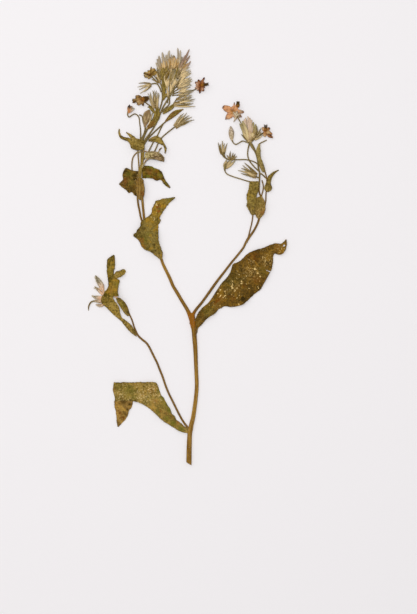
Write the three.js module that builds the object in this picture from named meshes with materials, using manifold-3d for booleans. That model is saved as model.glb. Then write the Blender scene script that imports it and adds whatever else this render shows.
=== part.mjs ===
// A borage stem in flower, cut, dried and pressed flat. It lies on its back on a surface: the stem
// runs along +Y, +Z points up from the surface, and the origin is under the middle of the plant.
import * as THREE from 'three';
import { mergeVertices } from 'three/addons/utils/BufferGeometryUtils.js';
import Module from 'manifold-3d';

const wasm = await Module();
wasm.setup();

// ---------------------------------------------------------------- driving dimensions, millimetres

const CLEARANCE = 0.3; // between neighbouring pieces
const LEAF_THICKNESS = 0.66; // of a dried leaf, straight up
const PETAL_THICKNESS = 0.62;
const LEAF_CELL = 2.6; // a facet's length on a leaf
const LARGE_LEAF_CELL = 3.5;
const STEM_STEP = 6; // between two sections of a thick stem
const STALK_STEP = 4.6;
const SEPAL_WIDTH = 1.35;
const SEPAL_RISE = 1.7; // how far the tip of a sepal may stand above its root
const EASE = 3.5; // over this length a piece comes down again beside what it lies on
const BED_CELL = 0.5; // grid on which the heights of what is laid down are kept
const BED_HALF_WIDTH = 76;
const BED_HALF_LENGTH = 150;
const NARROWEST = 0.5; // width of a leaf at its very tip
const SCRAP_VOLUME = 0.05;
const FINEST_DETAIL = 0.1;

// Sections, from the lower left corner round to the right, in widths and heights
const STEM = {
  outline: [[-0.38, 0], [0.38, 0], [0.5, 0.4], [0.27, 0.98], [0, 0.86], [-0.28, 1], [-0.5, 0.42]],
  flatness: 0.62,
  step: STEM_STEP,
};
const STALK = {
  outline: [[-0.44, 0], [0.44, 0], [0.3, 1], [-0.3, 1]],
  flatness: 0.8,
  step: STALK_STEP,
};
const SEPAL = { outline: [[-0.5, 0], [0.5, 0], [0, 1]], flatness: 0.6, step: 20 };
const BUD = {
  outline: [[-0.3, 0], [0.3, 0], [0.5, 0.4], [0.2, 0.92], [0, 0.82], [-0.2, 0.95], [-0.5, 0.4]],
  flatness: 0.55,
  step: 3.4,
};
const BRACT = { outline: [[-0.32, 0], [0.32, 0], [0.5, 0.7], [0, 1], [-0.5, 0.7]], flatness: 0.36, step: 4 };
const CONE = {
  outline: [[-0.2, 0.04], [0, 0.12], [0.2, 0.04], [0.5, 0.42], [0.36, 0.55], [0.3, 0.92],
    [0, 0.84], [-0.3, 0.92], [-0.36, 0.55], [-0.5, 0.42]],
  flatness: 0.85,
  step: 1.8,
};

const MATERIALS = {
  stem: new THREE.MeshStandardMaterial({ color: 0x8a6a34, roughness: 0.7 }),
  leaf: new THREE.MeshStandardMaterial({ color: 0x5d4d1c, roughness: 0.75 }),
  calyx: new THREE.MeshStandardMaterial({ color: 0x9a8658, roughness: 0.8 }),
  petal: new THREE.MeshStandardMaterial({ color: 0xb06a3a, roughness: 0.65 }),
  anther: new THREE.MeshStandardMaterial({ color: 0x2c1710, roughness: 0.6 }),
};

const plant = new THREE.Group();
plant.name = 'pressed_borage_stem';

// ------------------------------------------------------------------------------ random draws

function randomStream(seed) {
  let state = seed;
  return (low, high) => {
    state = (Math.imul(state, 1664525) + 1013904223) >>> 0;
    return low + ((high - low) * state) / 4294967296;
  };
}

// -------------------------------------------------------- the bed: heights of what is laid down

// Each piece that is laid down raises the bed, and later pieces lie over it with CLEARANCE.
const BED_COLUMNS = Math.ceil((2 * BED_HALF_WIDTH) / BED_CELL);
const BED_ROWS = Math.ceil((2 * BED_HALF_LENGTH) / BED_CELL);
const bed = new Float32Array(BED_COLUMNS * BED_ROWS);

function raiseBed(geometry) {
  const position = geometry.getAttribute('position');
  const index = geometry.getIndex();
  const corners = [new THREE.Vector3(), new THREE.Vector3(), new THREE.Vector3()];
  for (let i = 0; i < index.count; i += 3) {
    corners.forEach((corner, k) => corner.fromBufferAttribute(position, index.getX(i + k)));
    const flat = new THREE.Box3().setFromPoints(corners);
    const columns = [flat.min.x, flat.max.x].map((x) => Math.floor((x + BED_HALF_WIDTH) / BED_CELL));
    const rows = [flat.min.y, flat.max.y].map((y) => Math.floor((y + BED_HALF_LENGTH) / BED_CELL));
    for (let row = rows[0]; row <= rows[1]; row += 1) {
      for (let column = columns[0]; column <= columns[1]; column += 1) {
        const x = (column + 0.5) * BED_CELL - BED_HALF_WIDTH;
        const y = (row + 0.5) * BED_CELL - BED_HALF_LENGTH;
        const top = heightOnFace(corners, x, y) ?? cornerInCell(corners, x, y);
        const cell = row * BED_COLUMNS + column;
        bed[cell] = Math.max(bed[cell], top);
      }
    }
  }
}

function heightOnFace([a, b, c], x, y) {
  const area = (b.x - a.x) * (c.y - a.y) - (c.x - a.x) * (b.y - a.y);
  if (Math.abs(area) < 1e-6) return null;
  const shareB = ((x - a.x) * (c.y - a.y) - (c.x - a.x) * (y - a.y)) / area;
  const shareC = ((b.x - a.x) * (y - a.y) - (x - a.x) * (b.y - a.y)) / area;
  const shareA = 1 - shareB - shareC;
  if (Math.min(shareA, shareB, shareC) < -1e-6) return null;
  return shareA * a.z + shareB * b.z + shareC * c.z;
}

function cornerInCell(corners, x, y) {
  const near = corners.filter(
    (corner) => Math.abs(corner.x - x) <= BED_CELL && Math.abs(corner.y - y) <= BED_CELL,
  );
  return Math.max(0, ...near.map((corner) => corner.z));
}

// The height at which a piece lies at x, y when what is within reach of it stays under it
function lie(x, y, reach) {
  const radius = reach + EASE;
  const cells = Math.ceil(radius / BED_CELL);
  const middleColumn = Math.round((x + BED_HALF_WIDTH) / BED_CELL - 0.5);
  const middleRow = Math.round((y + BED_HALF_LENGTH) / BED_CELL - 0.5);
  let height = 0;
  for (let row = middleRow - cells; row <= middleRow + cells; row += 1) {
    for (let column = middleColumn - cells; column <= middleColumn + cells; column += 1) {
      const top = bed[row * BED_COLUMNS + column];
      if (!top) continue;
      const cellX = (column + 0.5) * BED_CELL - BED_HALF_WIDTH;
      const cellY = (row + 0.5) * BED_CELL - BED_HALF_LENGTH;
      const distance = Math.hypot(cellX - x, cellY - y);
      if (distance > radius) continue;
      const share = distance <= reach ? 1 : 0.5 + 0.5 * Math.cos((Math.PI * (distance - reach)) / EASE);
      height = Math.max(height, (top + CLEARANCE) * share);
    }
  }
  return height;
}

// ----------------------------------------------------------------------------- solids and nodes

function solidFrom(points, faces) {
  const shape = new wasm.Mesh({
    numProp: 3,
    vertProperties: new Float32Array(points.flat()),
    triVerts: new Uint32Array(faces.flat()),
  });
  return new wasm.Manifold(shape);
}

function geometryFrom(solid) {
  const { vertProperties, triVerts } = solid.getMesh();
  const geometry = new THREE.BufferGeometry();
  geometry.setAttribute('position', new THREE.BufferAttribute(vertProperties, 3));
  geometry.setIndex(new THREE.BufferAttribute(triVerts, 1));
  const merged = mergeVertices(geometry, 1e-3);
  merged.computeVertexNormals();
  return merged;
}

function join(solids) {
  return solids.reduce((whole, solid) => whole.add(solid));
}

// The same solid without the hair-thin faces, loose scraps and sealed pores that a union can leave
function cleaned(solid) {
  const pieces = solid.simplify(FINEST_DETAIL).decompose();
  return join(pieces.filter((piece) => piece.volume() > SCRAP_VOLUME));
}

function node(name, material, solids) {
  const geometry = geometryFrom(cleaned(join(solids)));
  const mesh = new THREE.Mesh(geometry, material);
  mesh.name = name;
  plant.add(mesh);
  raiseBed(geometry);
}

// A stem, stalk, sepal or bud: a section carried along a smooth route of [x, y, width] points.
// lift gives the extra height of its underside along it, swell widens it all round, and level
// keeps the whole of it at one height.
function limb(route, section, { lift = () => 0, swell = 0, level = false, onBed = true } = {}) {
  const knots = route.map(([x, y, width]) => new THREE.Vector3(x, y, width));
  const curve = new THREE.CatmullRomCurve3(knots, false, 'centripetal');
  const count = Math.max(2, Math.ceil(curve.getLength() / section.step));
  const shares = Array.from({ length: count + 1 }, (_, i) => i / count);
  const places = shares.map((share) => curve.getPointAt(share));
  const reach = curve.getLength() / count / 2 + 0.6;
  let undersides = places.map((place) => (onBed ? lie(place.x, place.y, reach + place.z / 2) : 0));
  if (level) undersides = undersides.map(() => Math.max(...undersides));
  const points = [];
  shares.forEach((share, i) => {
    const along = curve.getTangentAt(share).setZ(0).normalize();
    const { x, y, z: width } = places[i];
    const underside = undersides[i] + lift(share) - swell;
    const wide = width + 2 * swell;
    const high = width * section.flatness + 2 * swell;
    section.outline.forEach(([u, v]) => {
      points.push([x + along.y * u * wide, y - along.x * u * wide, underside + v * high]);
    });
  });
  const sides = section.outline.length;
  const faces = [];
  for (let ring = 0; ring < count; ring += 1) {
    for (let side = 0; side < sides; side += 1) {
      const a = ring * sides + side;
      const b = ring * sides + ((side + 1) % sides);
      faces.push([a, a + sides, b + sides], [a, b + sides, b]);
    }
  }
  const last = count * sides;
  for (let side = 1; side < sides - 1; side += 1) {
    faces.push([0, side, side + 1], [last, last + side + 1, last + side]);
  }
  return solidFrom(points, faces);
}

// A leaf or petal: a thin blade between its two edges, which run from its base to its tip, left
// and right as seen along it. Its margins rise in soft waves by curl.
function blade({
  left, right, rib, curl = 0.9, waves = 2.5, thickness = LEAF_THICKNESS, cell = LEAF_CELL,
  onBed = true, rise = 0,
}) {
  const curves = [left, right, rib].map((edge) => edge && smoothEdge(edge));
  const length = Math.max(curves[0].getLength(), curves[1].getLength());
  const rows = Math.max(3, Math.round(length / cell));
  const widest = widestRow(curves);
  const columns = 2 * Math.max(1, Math.round(widest / cell / 2));
  const reach = Math.hypot(length / rows, widest / columns) * 0.95;
  const top = [];
  for (let row = 0; row <= rows; row += 1) {
    const share = row / rows;
    const [start, end] = rowEnds(curves, share);
    const middle = curves[2] ? curves[2].getPointAt(share) : start.clone().lerp(end, 0.5);
    for (let column = 0; column <= columns; column += 1) {
      const side = (2 * column) / columns - 1;
      const place = middle.clone().lerp(side < 0 ? start : end, Math.abs(side));
      const phase = 2 * Math.PI * waves * share + (side < 0 ? 0 : 2.2) + length;
      const wave = curl * side * side * (0.5 + 0.5 * Math.sin(phase));
      const floor = onBed ? lie(place.x, place.y, reach) : 0;
      top.push([place.x, place.y, rise + floor + wave + thickness]);
    }
  }
  const under = top.map(([x, y, z]) => [x, y, z - thickness]);
  return solidFrom([...top, ...under], bladeFaces(rows, columns));
}

function smoothEdge(edge) {
  return new THREE.CatmullRomCurve3(edge.map(([x, y]) => new THREE.Vector3(x, y, 0)), false, 'centripetal');
}

// Both ends of a row, at least NARROWEST apart
function rowEnds(curves, share) {
  const start = curves[0].getPointAt(share);
  const end = curves[1].getPointAt(share);
  const width = start.distanceTo(end);
  if (width >= NARROWEST) return [start, end];
  const along = curves[0].getTangentAt(share).add(curves[1].getTangentAt(share)).normalize();
  const across = new THREE.Vector3(along.y, -along.x, 0).multiplyScalar(NARROWEST / 2);
  const middle = start.lerp(end, 0.5);
  return [middle.clone().sub(across), middle.clone().add(across)];
}

function widestRow(curves) {
  const shares = [0.1, 0.2, 0.3, 0.4, 0.5, 0.6, 0.7, 0.8];
  const widths = shares.map((share) => curves[0].getPointAt(share).distanceTo(curves[1].getPointAt(share)));
  return Math.max(...widths);
}

// Both faces are split along the same diagonals, and the rim joins them.
function bladeFaces(rows, columns) {
  const width = columns + 1;
  const under = (rows + 1) * width;
  const faces = [];
  for (let row = 0; row < rows; row += 1) {
    for (let column = 0; column < columns; column += 1) {
      const a = row * width + column;
      const b = a + 1;
      const d = a + width;
      const e = d + 1;
      faces.push([a, b, e], [a, e, d]);
      faces.push([a + under, e + under, b + under], [a + under, d + under, e + under]);
    }
  }
  const rim = [];
  for (let column = 0; column < columns; column += 1) rim.push(column);
  for (let row = 0; row < rows; row += 1) rim.push(row * width + columns);
  for (let column = columns; column > 0; column -= 1) rim.push(rows * width + column);
  for (let row = rows; row > 0; row -= 1) rim.push(row * width);
  rim.forEach((p, i) => {
    const q = rim[(i + 1) % rim.length];
    faces.push([q, p, p + under], [q, p + under, q + under]);
  });
  return faces;
}

// Undersides at heights that all differ a little, so that limbs joined in one solid share no plane
const GOLDEN_SHARE = 0.618034;
const STAGGER = 0.4;
function stagger(i) {
  return STAGGER * ((i * GOLDEN_SHARE) % 1);
}

// A calyx: narrow sepals that spread from one root, each a little higher or lower than the next
function calyx(root, tips, { width = SEPAL_WIDTH, rise = SEPAL_RISE, seed = 1 } = {}) {
  const random = randomStream(seed * 7919 + Math.round(100 * Math.abs(root[0] + root[1])));
  return tips.map(([x, y], i) => {
    const start = 0.1 + stagger(i + seed * 3.3 + Math.abs(root[1]));
    const bend = random(-0.08, 0.08);
    const across = [-(y - root[1]) * bend, (x - root[0]) * bend];
    const waist = 0.45;
    const middle = [
      root[0] + (x - root[0]) * waist + across[0],
      root[1] + (y - root[1]) * waist + across[1],
    ];
    const climb = random(0.15, 1) * rise;
    const route = [[...root, width * 0.7], [...middle, width], [x, y, 0.25]];
    return limb(route, SEPAL, { lift: (share) => start + climb * share * share });
  });
}

// A corolla: pointed petals, given as [x, y, width] of their tips, grown together round the throat
// into one thin wheel. Its outline passes a shoulder, the tip and a shoulder of each petal, and the
// notch before the next one. sink is how far it settles between the sepals under it.
const SHOULDER = 0.58; // share of a petal's length at which it is widest
const WHEEL_RINGS = [0.32, 0.66, 1];
const PETAL_FOLD = 0.7;
function corolla([x, y], petals, sink = 0) {
  const spokes = petals
    .map(([tipX, tipY, width]) => ({
      turn: Math.atan2(tipY - y, tipX - x),
      length: Math.hypot(tipX - x, tipY - y),
      width,
    }))
    .sort((a, b) => a.turn - b.turn);
  const outline = spokes.flatMap(({ turn, length, width }, i) => {
    const next = spokes[(i + 1) % spokes.length];
    const before = spokes[(i + spokes.length - 1) % spokes.length];
    const gapAfter = fullTurn(next.turn - turn);
    const gapBefore = fullTurn(turn - before.turn);
    const half = Math.atan2(width / 2, length * SHOULDER);
    const notch = Math.min(length, next.length) * Math.max(0.15, 0.62 - 0.22 * (gapAfter - 0.7));
    return [
      { turn: turn - Math.min(half, gapBefore * 0.42), radius: length * SHOULDER, ridge: 0.4 },
      { turn, radius: length, ridge: 0.6 + 0.4 * Math.sin(5 * turn + length) },
      { turn: turn + Math.min(half, gapAfter * 0.42), radius: length * SHOULDER, ridge: 0.9 },
      { turn: turn + gapAfter / 2, radius: notch, ridge: 0 },
    ];
  });
  const longest = Math.max(...spokes.map((spoke) => spoke.length));
  const reach = 0.38 * longest;
  const level = PETAL_THICKNESS - sink;
  const top = [[x, y, lie(x, y, reach) + level]];
  WHEEL_RINGS.forEach((share) => outline.forEach(({ turn, radius, ridge }) => {
    const place = [x + Math.cos(turn) * radius * share, y + Math.sin(turn) * radius * share];
    top.push([...place, lie(...place, reach) + PETAL_FOLD * ridge * share + level]);
  }));
  const under = top.map(([px, py, z]) => [px, py, z - PETAL_THICKNESS]);
  return solidFrom([...top, ...under], wheelFaces(outline.length, WHEEL_RINGS.length));
}

function fullTurn(angle) {
  return angle <= 0 ? angle + 2 * Math.PI : angle;
}

// Like a leaf's, the upper and the under faces of a wheel are split alike.
function wheelFaces(count, rings) {
  const under = 1 + rings * count;
  const faces = [];
  const addBoth = (a, b, c) => faces.push([a, b, c], [a + under, c + under, b + under]);
  for (let i = 0; i < count; i += 1) {
    const j = (i + 1) % count;
    addBoth(0, 1 + i, 1 + j);
    for (let ring = 1; ring < rings; ring += 1) {
      const inner = 1 + (ring - 1) * count;
      const outer = inner + count;
      addBoth(inner + i, outer + i, outer + j);
      addBoth(inner + i, outer + j, inner + j);
    }
    const edge = 1 + (rings - 1) * count;
    faces.push([edge + j, edge + i, edge + i + under], [edge + j, edge + i + under, edge + j + under]);
  }
  return faces;
}

// ================================================================================ the plant

// --- stem of the left head that loops out under the crumpled leaf, laid down first ---

const stems = [];
const stemRoom = []; // the same stems, swollen by the room that leaves leave them
const STEM_ROOM = CLEARANCE + FINEST_DETAIL;

function layStem(route, section = STEM, options = {}) {
  stems.push(limb(route, section, options));
  stemRoom.push(limb(route, section, { ...options, swell: STEM_ROOM }));
}

const loopStem = [[-34, 51, 0.9], [-36.8, 54.5, 0.9], [-37.9, 60, 0.9], [-37.5, 66.5, 0.9],
  [-36.3, 69, 0.9], [-33.6, 71.6, 0.9]];
const LOOP_UNDER_LEAF = 3; // points of it, from its start, that the leaf lies over
layStem(loopStem, STALK);
raiseBed(geometryFrom(limb(loopStem.slice(0, LOOP_UNDER_LEAF), STALK)));

// --- crumpled leaf behind the stems below the left head ---

node('leaf_head_left', MATERIALS.leaf, [blade({
  left: [[-32.8, 41.2], [-36.5, 42], [-39.2, 43.3], [-41.3, 44.7], [-44.2, 46.8], [-46.7, 49.2]],
  right: [[-32.6, 58], [-35.5, 58.4], [-38.5, 59], [-41.9, 60.4], [-44.3, 55.8], [-43.6, 53.4],
    [-46.5, 49.8]],
  curl: 0.4,
  waves: 2,
})]);

// --- main stem, the fork, its two branches and the low side branch ---

layStem([[0.9, -141.2, 3.4], [0.95, -138, 3.4], [1.1, -130, 3.3], [1.6, -120, 3.0], [2.5, -115, 2.9],
  [3.7, -110, 2.8], [5.2, -100, 2.6], [6.2, -90, 2.5], [6.25, -85, 2.5], [6, -80, 2.5],
  [5.6, -70, 2.6], [5.3, -63, 2.8], [4.7, -55, 3.0], [4.3, -50, 3.1], [3.4, -45, 3.4], [2.6, -39, 3.6]]);
// left branch, on as the left one of two parallel stems
layStem([[3, -43, 2.6], [0.9, -38.5, 2.4], [-0.9, -35, 2.3], [-4, -30, 2.2], [-6.9, -25, 2.2],
  [-9.9, -20, 2.1], [-12, -15, 2.1], [-14.4, -10, 2.0], [-16.8, -5, 1.9], [-18.6, 0, 1.8],
  [-23, 9, 1.8], [-27.5, 17, 1.8], [-30.6, 24, 1.8]]);
layStem([[-29.8, 22.5, 1.5], [-31.7, 26, 1.3], [-32.5, 30, 1.3], [-33.5, 35, 1.3], [-34.1, 40, 1.3],
  [-34.1, 50, 1.2], [-33.7, 58, 1.2], [-33.6, 66, 1.2], [-33.5, 75.8, 1.1]], STALK);
layStem([[-28.5, 20, 1.6], [-29.7, 26.5, 1.6], [-30, 30, 1.6], [-30.5, 35, 1.6], [-30.9, 40, 1.6],
  [-31.2, 50, 1.6], [-31.2, 58, 1.6], [-31.4, 66, 1.7], [-31.6, 75.8, 1.8]]);
// right branch, to the leaves below the right head
layStem([[2.6, -43, 2.4], [4.3, -38.5, 1.8], [10, -31, 1.6], [15, -24, 1.5], [20, -17, 1.5],
  [25, -10.5, 1.5], [30, -4, 1.4], [35, 2, 1.4], [38, 6, 1.4], [40, 10, 1.4], [41.6, 12.6, 1.5],
  [45.4, 18, 1.4], [48.4, 24.5, 1.4], [49.7, 32, 1.4], [50.1, 40, 1.2], [48.9, 44, 1.0],
  [48.7, 48.4, 1.1]], STALK);
layStem([[41, 11.5, 1.0], [42.6, 18, 0.9], [44, 24, 0.9], [44.9, 32, 0.9]], STALK);
layStem([[50, 39, 0.9], [50.6, 42, 0.85], [51.4, 45, 0.85], [51.6, 48.5, 0.85], [50.9, 51, 0.8]], STALK);
layStem([[49.2, 29, 0.9], [52, 33, 0.9], [53.2, 37, 0.9], [53.5, 43, 0.9], [54, 48, 0.9],
  [53.8, 54, 0.9], [53, 57, 0.9], [52.3, 60, 0.9], [51.6, 62, 0.8]], STALK);
// low side branch and its upper stem
layStem([[1.4, -119, 1.4], [-0.3, -116.2, 1.5], [-2.5, -113.2, 1.4], [-5, -109, 1.4], [-10, -99, 1.4],
  [-12.5, -94, 1.4], [-15, -88, 1.4], [-17, -82, 1.4], [-19, -77, 1.4], [-21, -72, 1.4],
  [-22.5, -69, 1.4], [-24, -66, 1.4], [-26, -62, 1.4], [-28, -59, 1.4], [-31, -56.5, 1.4],
  [-33.6, -54, 1.3], [-36, -49, 1.1], [-38, -43, 1.0], [-40, -38.5, 1.0], [-41.5, -34, 1.0],
  [-44, -30.5, 1.0], [-46.6, -28.7, 0.9]], STALK);

// The cut end is slanted.
const CUT_POINT = [1, -141.2];
const CUT_NORMAL = new THREE.Vector2(0.5, 0.85).normalize();
const mainStem = join(stems).trimByPlane(
  [CUT_NORMAL.x, CUT_NORMAL.y, 0],
  CUT_NORMAL.x * CUT_POINT[0] + CUT_NORMAL.y * CUT_POINT[1],
);
node('main_stem', MATERIALS.stem, [mainStem]);
const roomForStems = join(stemRoom);

// --- the two largest leaves, which grow from the side of the stem ---

node('leaf_fork', MATERIALS.leaf, [blade({
  left: [[4.5, -43.5], [5.6, -42], [7, -39], [10, -35], [12.5, -33], [15, -30.5], [18, -26],
    [20, -23], [23, -18.5], [27, -14], [28.5, -12], [30, -8], [31.2, -5], [35, -3.5], [38, -1],
    [41, 2], [45, 4], [49, 5.2], [52, 6], [55.5, 7.7], [60, 9], [64, 8.8], [66, 10.5], [67.2, 11.9]],
  right: [[4.5, -55], [6.4, -52.5], [7, -49.5], [8, -48], [10, -46], [12.5, -43], [15, -41],
    [19, -38.5], [21, -36], [23, -35], [25.5, -34], [30, -34.5], [33, -34], [37, -33],
    [40.5, -30.5], [44, -27], [50, -22], [52, -18.5], [55, -13], [57, -9.5], [58.3, -4],
    [58.4, 0], [59.5, 2], [61, 1.5], [64, 1.5], [66.5, 4], [67.5, 7], [67.5, 11.3]],
  rib: [[4.5, -49], [10, -42.5], [18, -34.5], [26, -26.5], [34, -19], [42, -11.5], [50, -3],
    [56, 2.8], [61, 6.2], [67.3, 11.6]],
  curl: 1.6,
  waves: 4,
  rise: 0.1,
  cell: LARGE_LEAF_CELL,
  onBed: false,
}).subtract(roomForStems)]);

node('leaf_foot', MATERIALS.leaf, [
  blade({
    left: [[1.5, -120.6], [-2, -120], [-5.5, -119], [-8, -117.5], [-13, -114.5], [-18, -111],
      [-22, -107], [-27, -103], [-31, -100.5], [-36, -98.7], [-42, -98.3], [-49, -98.5]],
    right: [[1.5, -117.6], [-1.6, -116.2], [-4.4, -113.6], [-7.6, -111.2], [-8.7, -108.7],
      [-10.7, -107], [-11.7, -104], [-13.7, -101], [-16.2, -96.5], [-18.2, -94], [-19.7, -90],
      [-21.6, -86.6], [-25, -85.4], [-30, -85.5], [-40, -85.7], [-50.3, -85.7]],
    rib: [[1.5, -119], [-5, -115.2], [-10, -111], [-15, -106.5], [-22, -100.5], [-30, -96],
      [-40, -93], [-51, -91]],
    curl: 1.5,
    waves: 3,
    cell: LARGE_LEAF_CELL,
    onBed: false,
  }),
  blade({
    left: [[-36.8, -96.5], [-37.4, -100], [-38.2, -103], [-40, -105], [-40.6, -108], [-42.2, -111],
      [-47.1, -116]],
    right: [[-49.4, -96.5], [-49.8, -100], [-49.6, -103], [-48.8, -106.5], [-48.3, -112],
      [-47.7, -116]],
    curl: 0.8,
    waves: 1.5,
    onBed: false,
  }),
].map((solid) => solid.subtract(roomForStems)));

// --- leaf that lies over the left branch ---

node('leaf_left_branch', MATERIALS.leaf, [blade({
  left: [[-18.6, -2], [-21.3, 0], [-25, 3], [-30, 5.3], [-31.5, 7], [-33, 10.5], [-35, 12.5],
    [-37, 14], [-35.8, 16.5], [-34, 18], [-32.5, 20], [-31.8, 23], [-29, 26], [-26, 28],
    [-24.5, 30], [-24, 33], [-22.5, 36], [-21.8, 38], [-19, 38.5], [-17, 39.5], [-14, 39.8],
    [-8.6, 40.5]],
  right: [[-17.2, -2], [-17, 2.5], [-18.5, 7], [-19.5, 10], [-19.8, 15], [-19.8, 21], [-18.3, 25],
    [-19, 26], [-18, 28.5], [-16, 31.5], [-14, 34.3], [-12, 36.8], [-8.4, 40]],
  curl: 1.1,
  waves: 3,
})]);

// --- leaves at the stem below the left head ---

node('leaf_head_right', MATERIALS.leaf, [blade({
  left: [[-30.2, 61.8], [-28, 62], [-25.6, 61.7], [-22.2, 60.4], [-18.1, 58.3], [-16, 54.2], [-13.4, 50],
    [-11.7, 46.8]],
  right: [[-30.2, 53.2], [-28, 53.5], [-25.6, 53.5], [-23.5, 52.9], [-20.8, 51.5], [-18.1, 52.2],
    [-15.6, 51], [-12.3, 46.6]],
  curl: 1,
  onBed: false,
}).subtract(roomForStems)]);

node('leaf_head_stem', MATERIALS.leaf, [blade({
  left: [[-32.8, 38.5], [-34.2, 42], [-34.6, 46], [-33.7, 50], [-32.2, 53.5]],
  right: [[-31.5, 38.5], [-29.4, 42], [-28.8, 46], [-29.6, 50], [-31.5, 53.5]],
  curl: 0.5,
})]);

// --- left head: the stalks rise from the collar and fan out to the calyces ---

const leftStalks = [
  [[-33.2, 76.2, 1.1], [-32.3, 79, 1], [-32, 85, 0.9], [-32.5, 90, 0.8], [-33.5, 95.5, 0.8],
    [-36, 97.2, 0.8], [-38, 96.2, 0.8], [-40, 95, 0.8], [-40.9, 97, 0.8], [-40.5, 99.6, 0.8]],
  [[-32.3, 76.2, 1.2], [-31.3, 80, 1.1], [-29.6, 84, 1], [-28.9, 88, 1], [-30.3, 92, 1],
    [-31, 95.6, 0.9], [-33, 96.6, 0.8]],
  [[-31.5, 76.2, 1.2], [-30, 81, 1.2], [-27.8, 86, 1.1], [-25.6, 90.5, 1.1], [-23.5, 94, 1.1],
    [-21, 98, 1.1]],
  [[-30.8, 76.2, 1.4], [-28.8, 79.5, 1.4], [-26, 83.5, 1.2], [-23, 88, 1.1], [-20.6, 92.5, 1.1],
    [-18.8, 97, 1.1], [-16.6, 102, 1.1], [-13.6, 107, 1.1], [-10.5, 112, 1.1], [-8.8, 118, 1.1],
    [-8.2, 124, 1], [-8.2, 129, 0.9]],
  [[-29.5, 76.8, 1.2], [-26.8, 80.6, 1.1], [-23, 84.6, 1], [-18, 89.2, 1], [-14.6, 92.3, 1], [-11, 95.6, 1]],
  [[-28.9, 67.6, 0.9], [-26.6, 71.5, 0.9], [-23.6, 77.4, 0.9], [-21, 81.6, 0.9], [-18.6, 86.6, 0.9],
    [-16.4, 90.8, 0.9]],
  [[-27.9, 68.6, 0.9], [-24.6, 69.6, 0.9], [-22.4, 72, 0.9], [-20.1, 77, 0.9], [-17.8, 80.8, 0.9],
    [-13.3, 84.8, 0.9], [-10, 87.4, 0.9], [-7.6, 89.2, 0.9]],
  [[-21.6, 96.5, 1.1], [-21.4, 99.5, 1], [-22, 102.5, 1]],
  [[-20.6, 97, 1.1], [-18.8, 101, 1], [-17.2, 107, 1], [-17.3, 113, 1], [-17.2, 119, 1], [-16.4, 124, 1],
    [-16.6, 128, 0.9]],
  [[-19.4, 96.8, 1], [-15.8, 100.6, 0.9], [-12.6, 103.8, 0.9], [-12.3, 107.4, 0.9], [-12.2, 113, 0.9],
    [-12.4, 121, 0.9], [-12.2, 128.5, 0.9]],
  [[-17.5, 98.5, 1], [-13, 101.5, 1], [-9, 103.6, 1]],
  [[-9.3, 103, 0.9], [-8.6, 105.6, 0.8], [-7.4, 107.2, 0.8]],
  [[-18, 112, 0.9], [-19.2, 115.4, 0.9], [-20.8, 117.6, 0.9], [-23, 117.9, 0.9], [-25.6, 117.2, 0.9]],
  [[-17.4, 114, 0.9], [-18.2, 117, 0.9], [-19.4, 119.4, 0.9]],
  [[-9.6, 111, 0.9], [-5, 112.4, 0.8], [0, 112.6, 0.8], [4, 113.4, 0.8], [6.8, 115, 0.8], [8.6, 116.2, 0.9]],
  [[-20.4, 118.6, 0.9], [-22.6, 120.8, 0.8], [-24.8, 123, 0.9]],
  [[-22, 101.4, 0.9], [-25.4, 102.6, 0.8], [-29.6, 105.8, 0.9]],
];

const leftBracts = [
  [[-28.2, 86.4, 1], [-25, 89.6, 3.6], [-22, 92.3, 3.2], [-20.4, 94, 0.5]],
  [[-22.6, 90.5, 1.2], [-21.2, 94.5, 4.4], [-20.6, 98, 3.6], [-20.2, 102, 0.8]],
  [[-21.8, 97, 1], [-23.8, 99.8, 2.2], [-26.3, 102, 1.4], [-27.2, 101.6, 0.4]],
  [[-29.2, 88.2, 1.2], [-28.2, 93, 4.2], [-27.3, 97, 5.2], [-26, 100, 1.2]],
  [[-16.8, 97.2, 1], [-13.5, 99.8, 2.6], [-10.4, 102.2, 2.6], [-7.8, 105, 0.6]],
  [[-15.2, 91.8, 1], [-11.4, 95.4, 2.6], [-8, 98, 2.8], [-2.8, 100.5, 0.4]],
  [[-16.6, 106.5, 1], [-15.6, 109.5, 3], [-14, 110, 2.4], [-12.6, 107.6, 0.5]],
  [[-16.4, 108.5, 1], [-15.9, 113, 2.4], [-15.8, 118, 2.8], [-16.5, 122, 0.8]],
  [[-17.4, 120.5, 1.4], [-16.8, 124.5, 4.4], [-15.4, 127.5, 4.6], [-13.8, 130.5, 0.8]],
  [[-14.8, 119.5, 1], [-14.4, 122.5, 2.6], [-13.6, 125.5, 2.4], [-12.6, 128.5, 0.6]],
];

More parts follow.
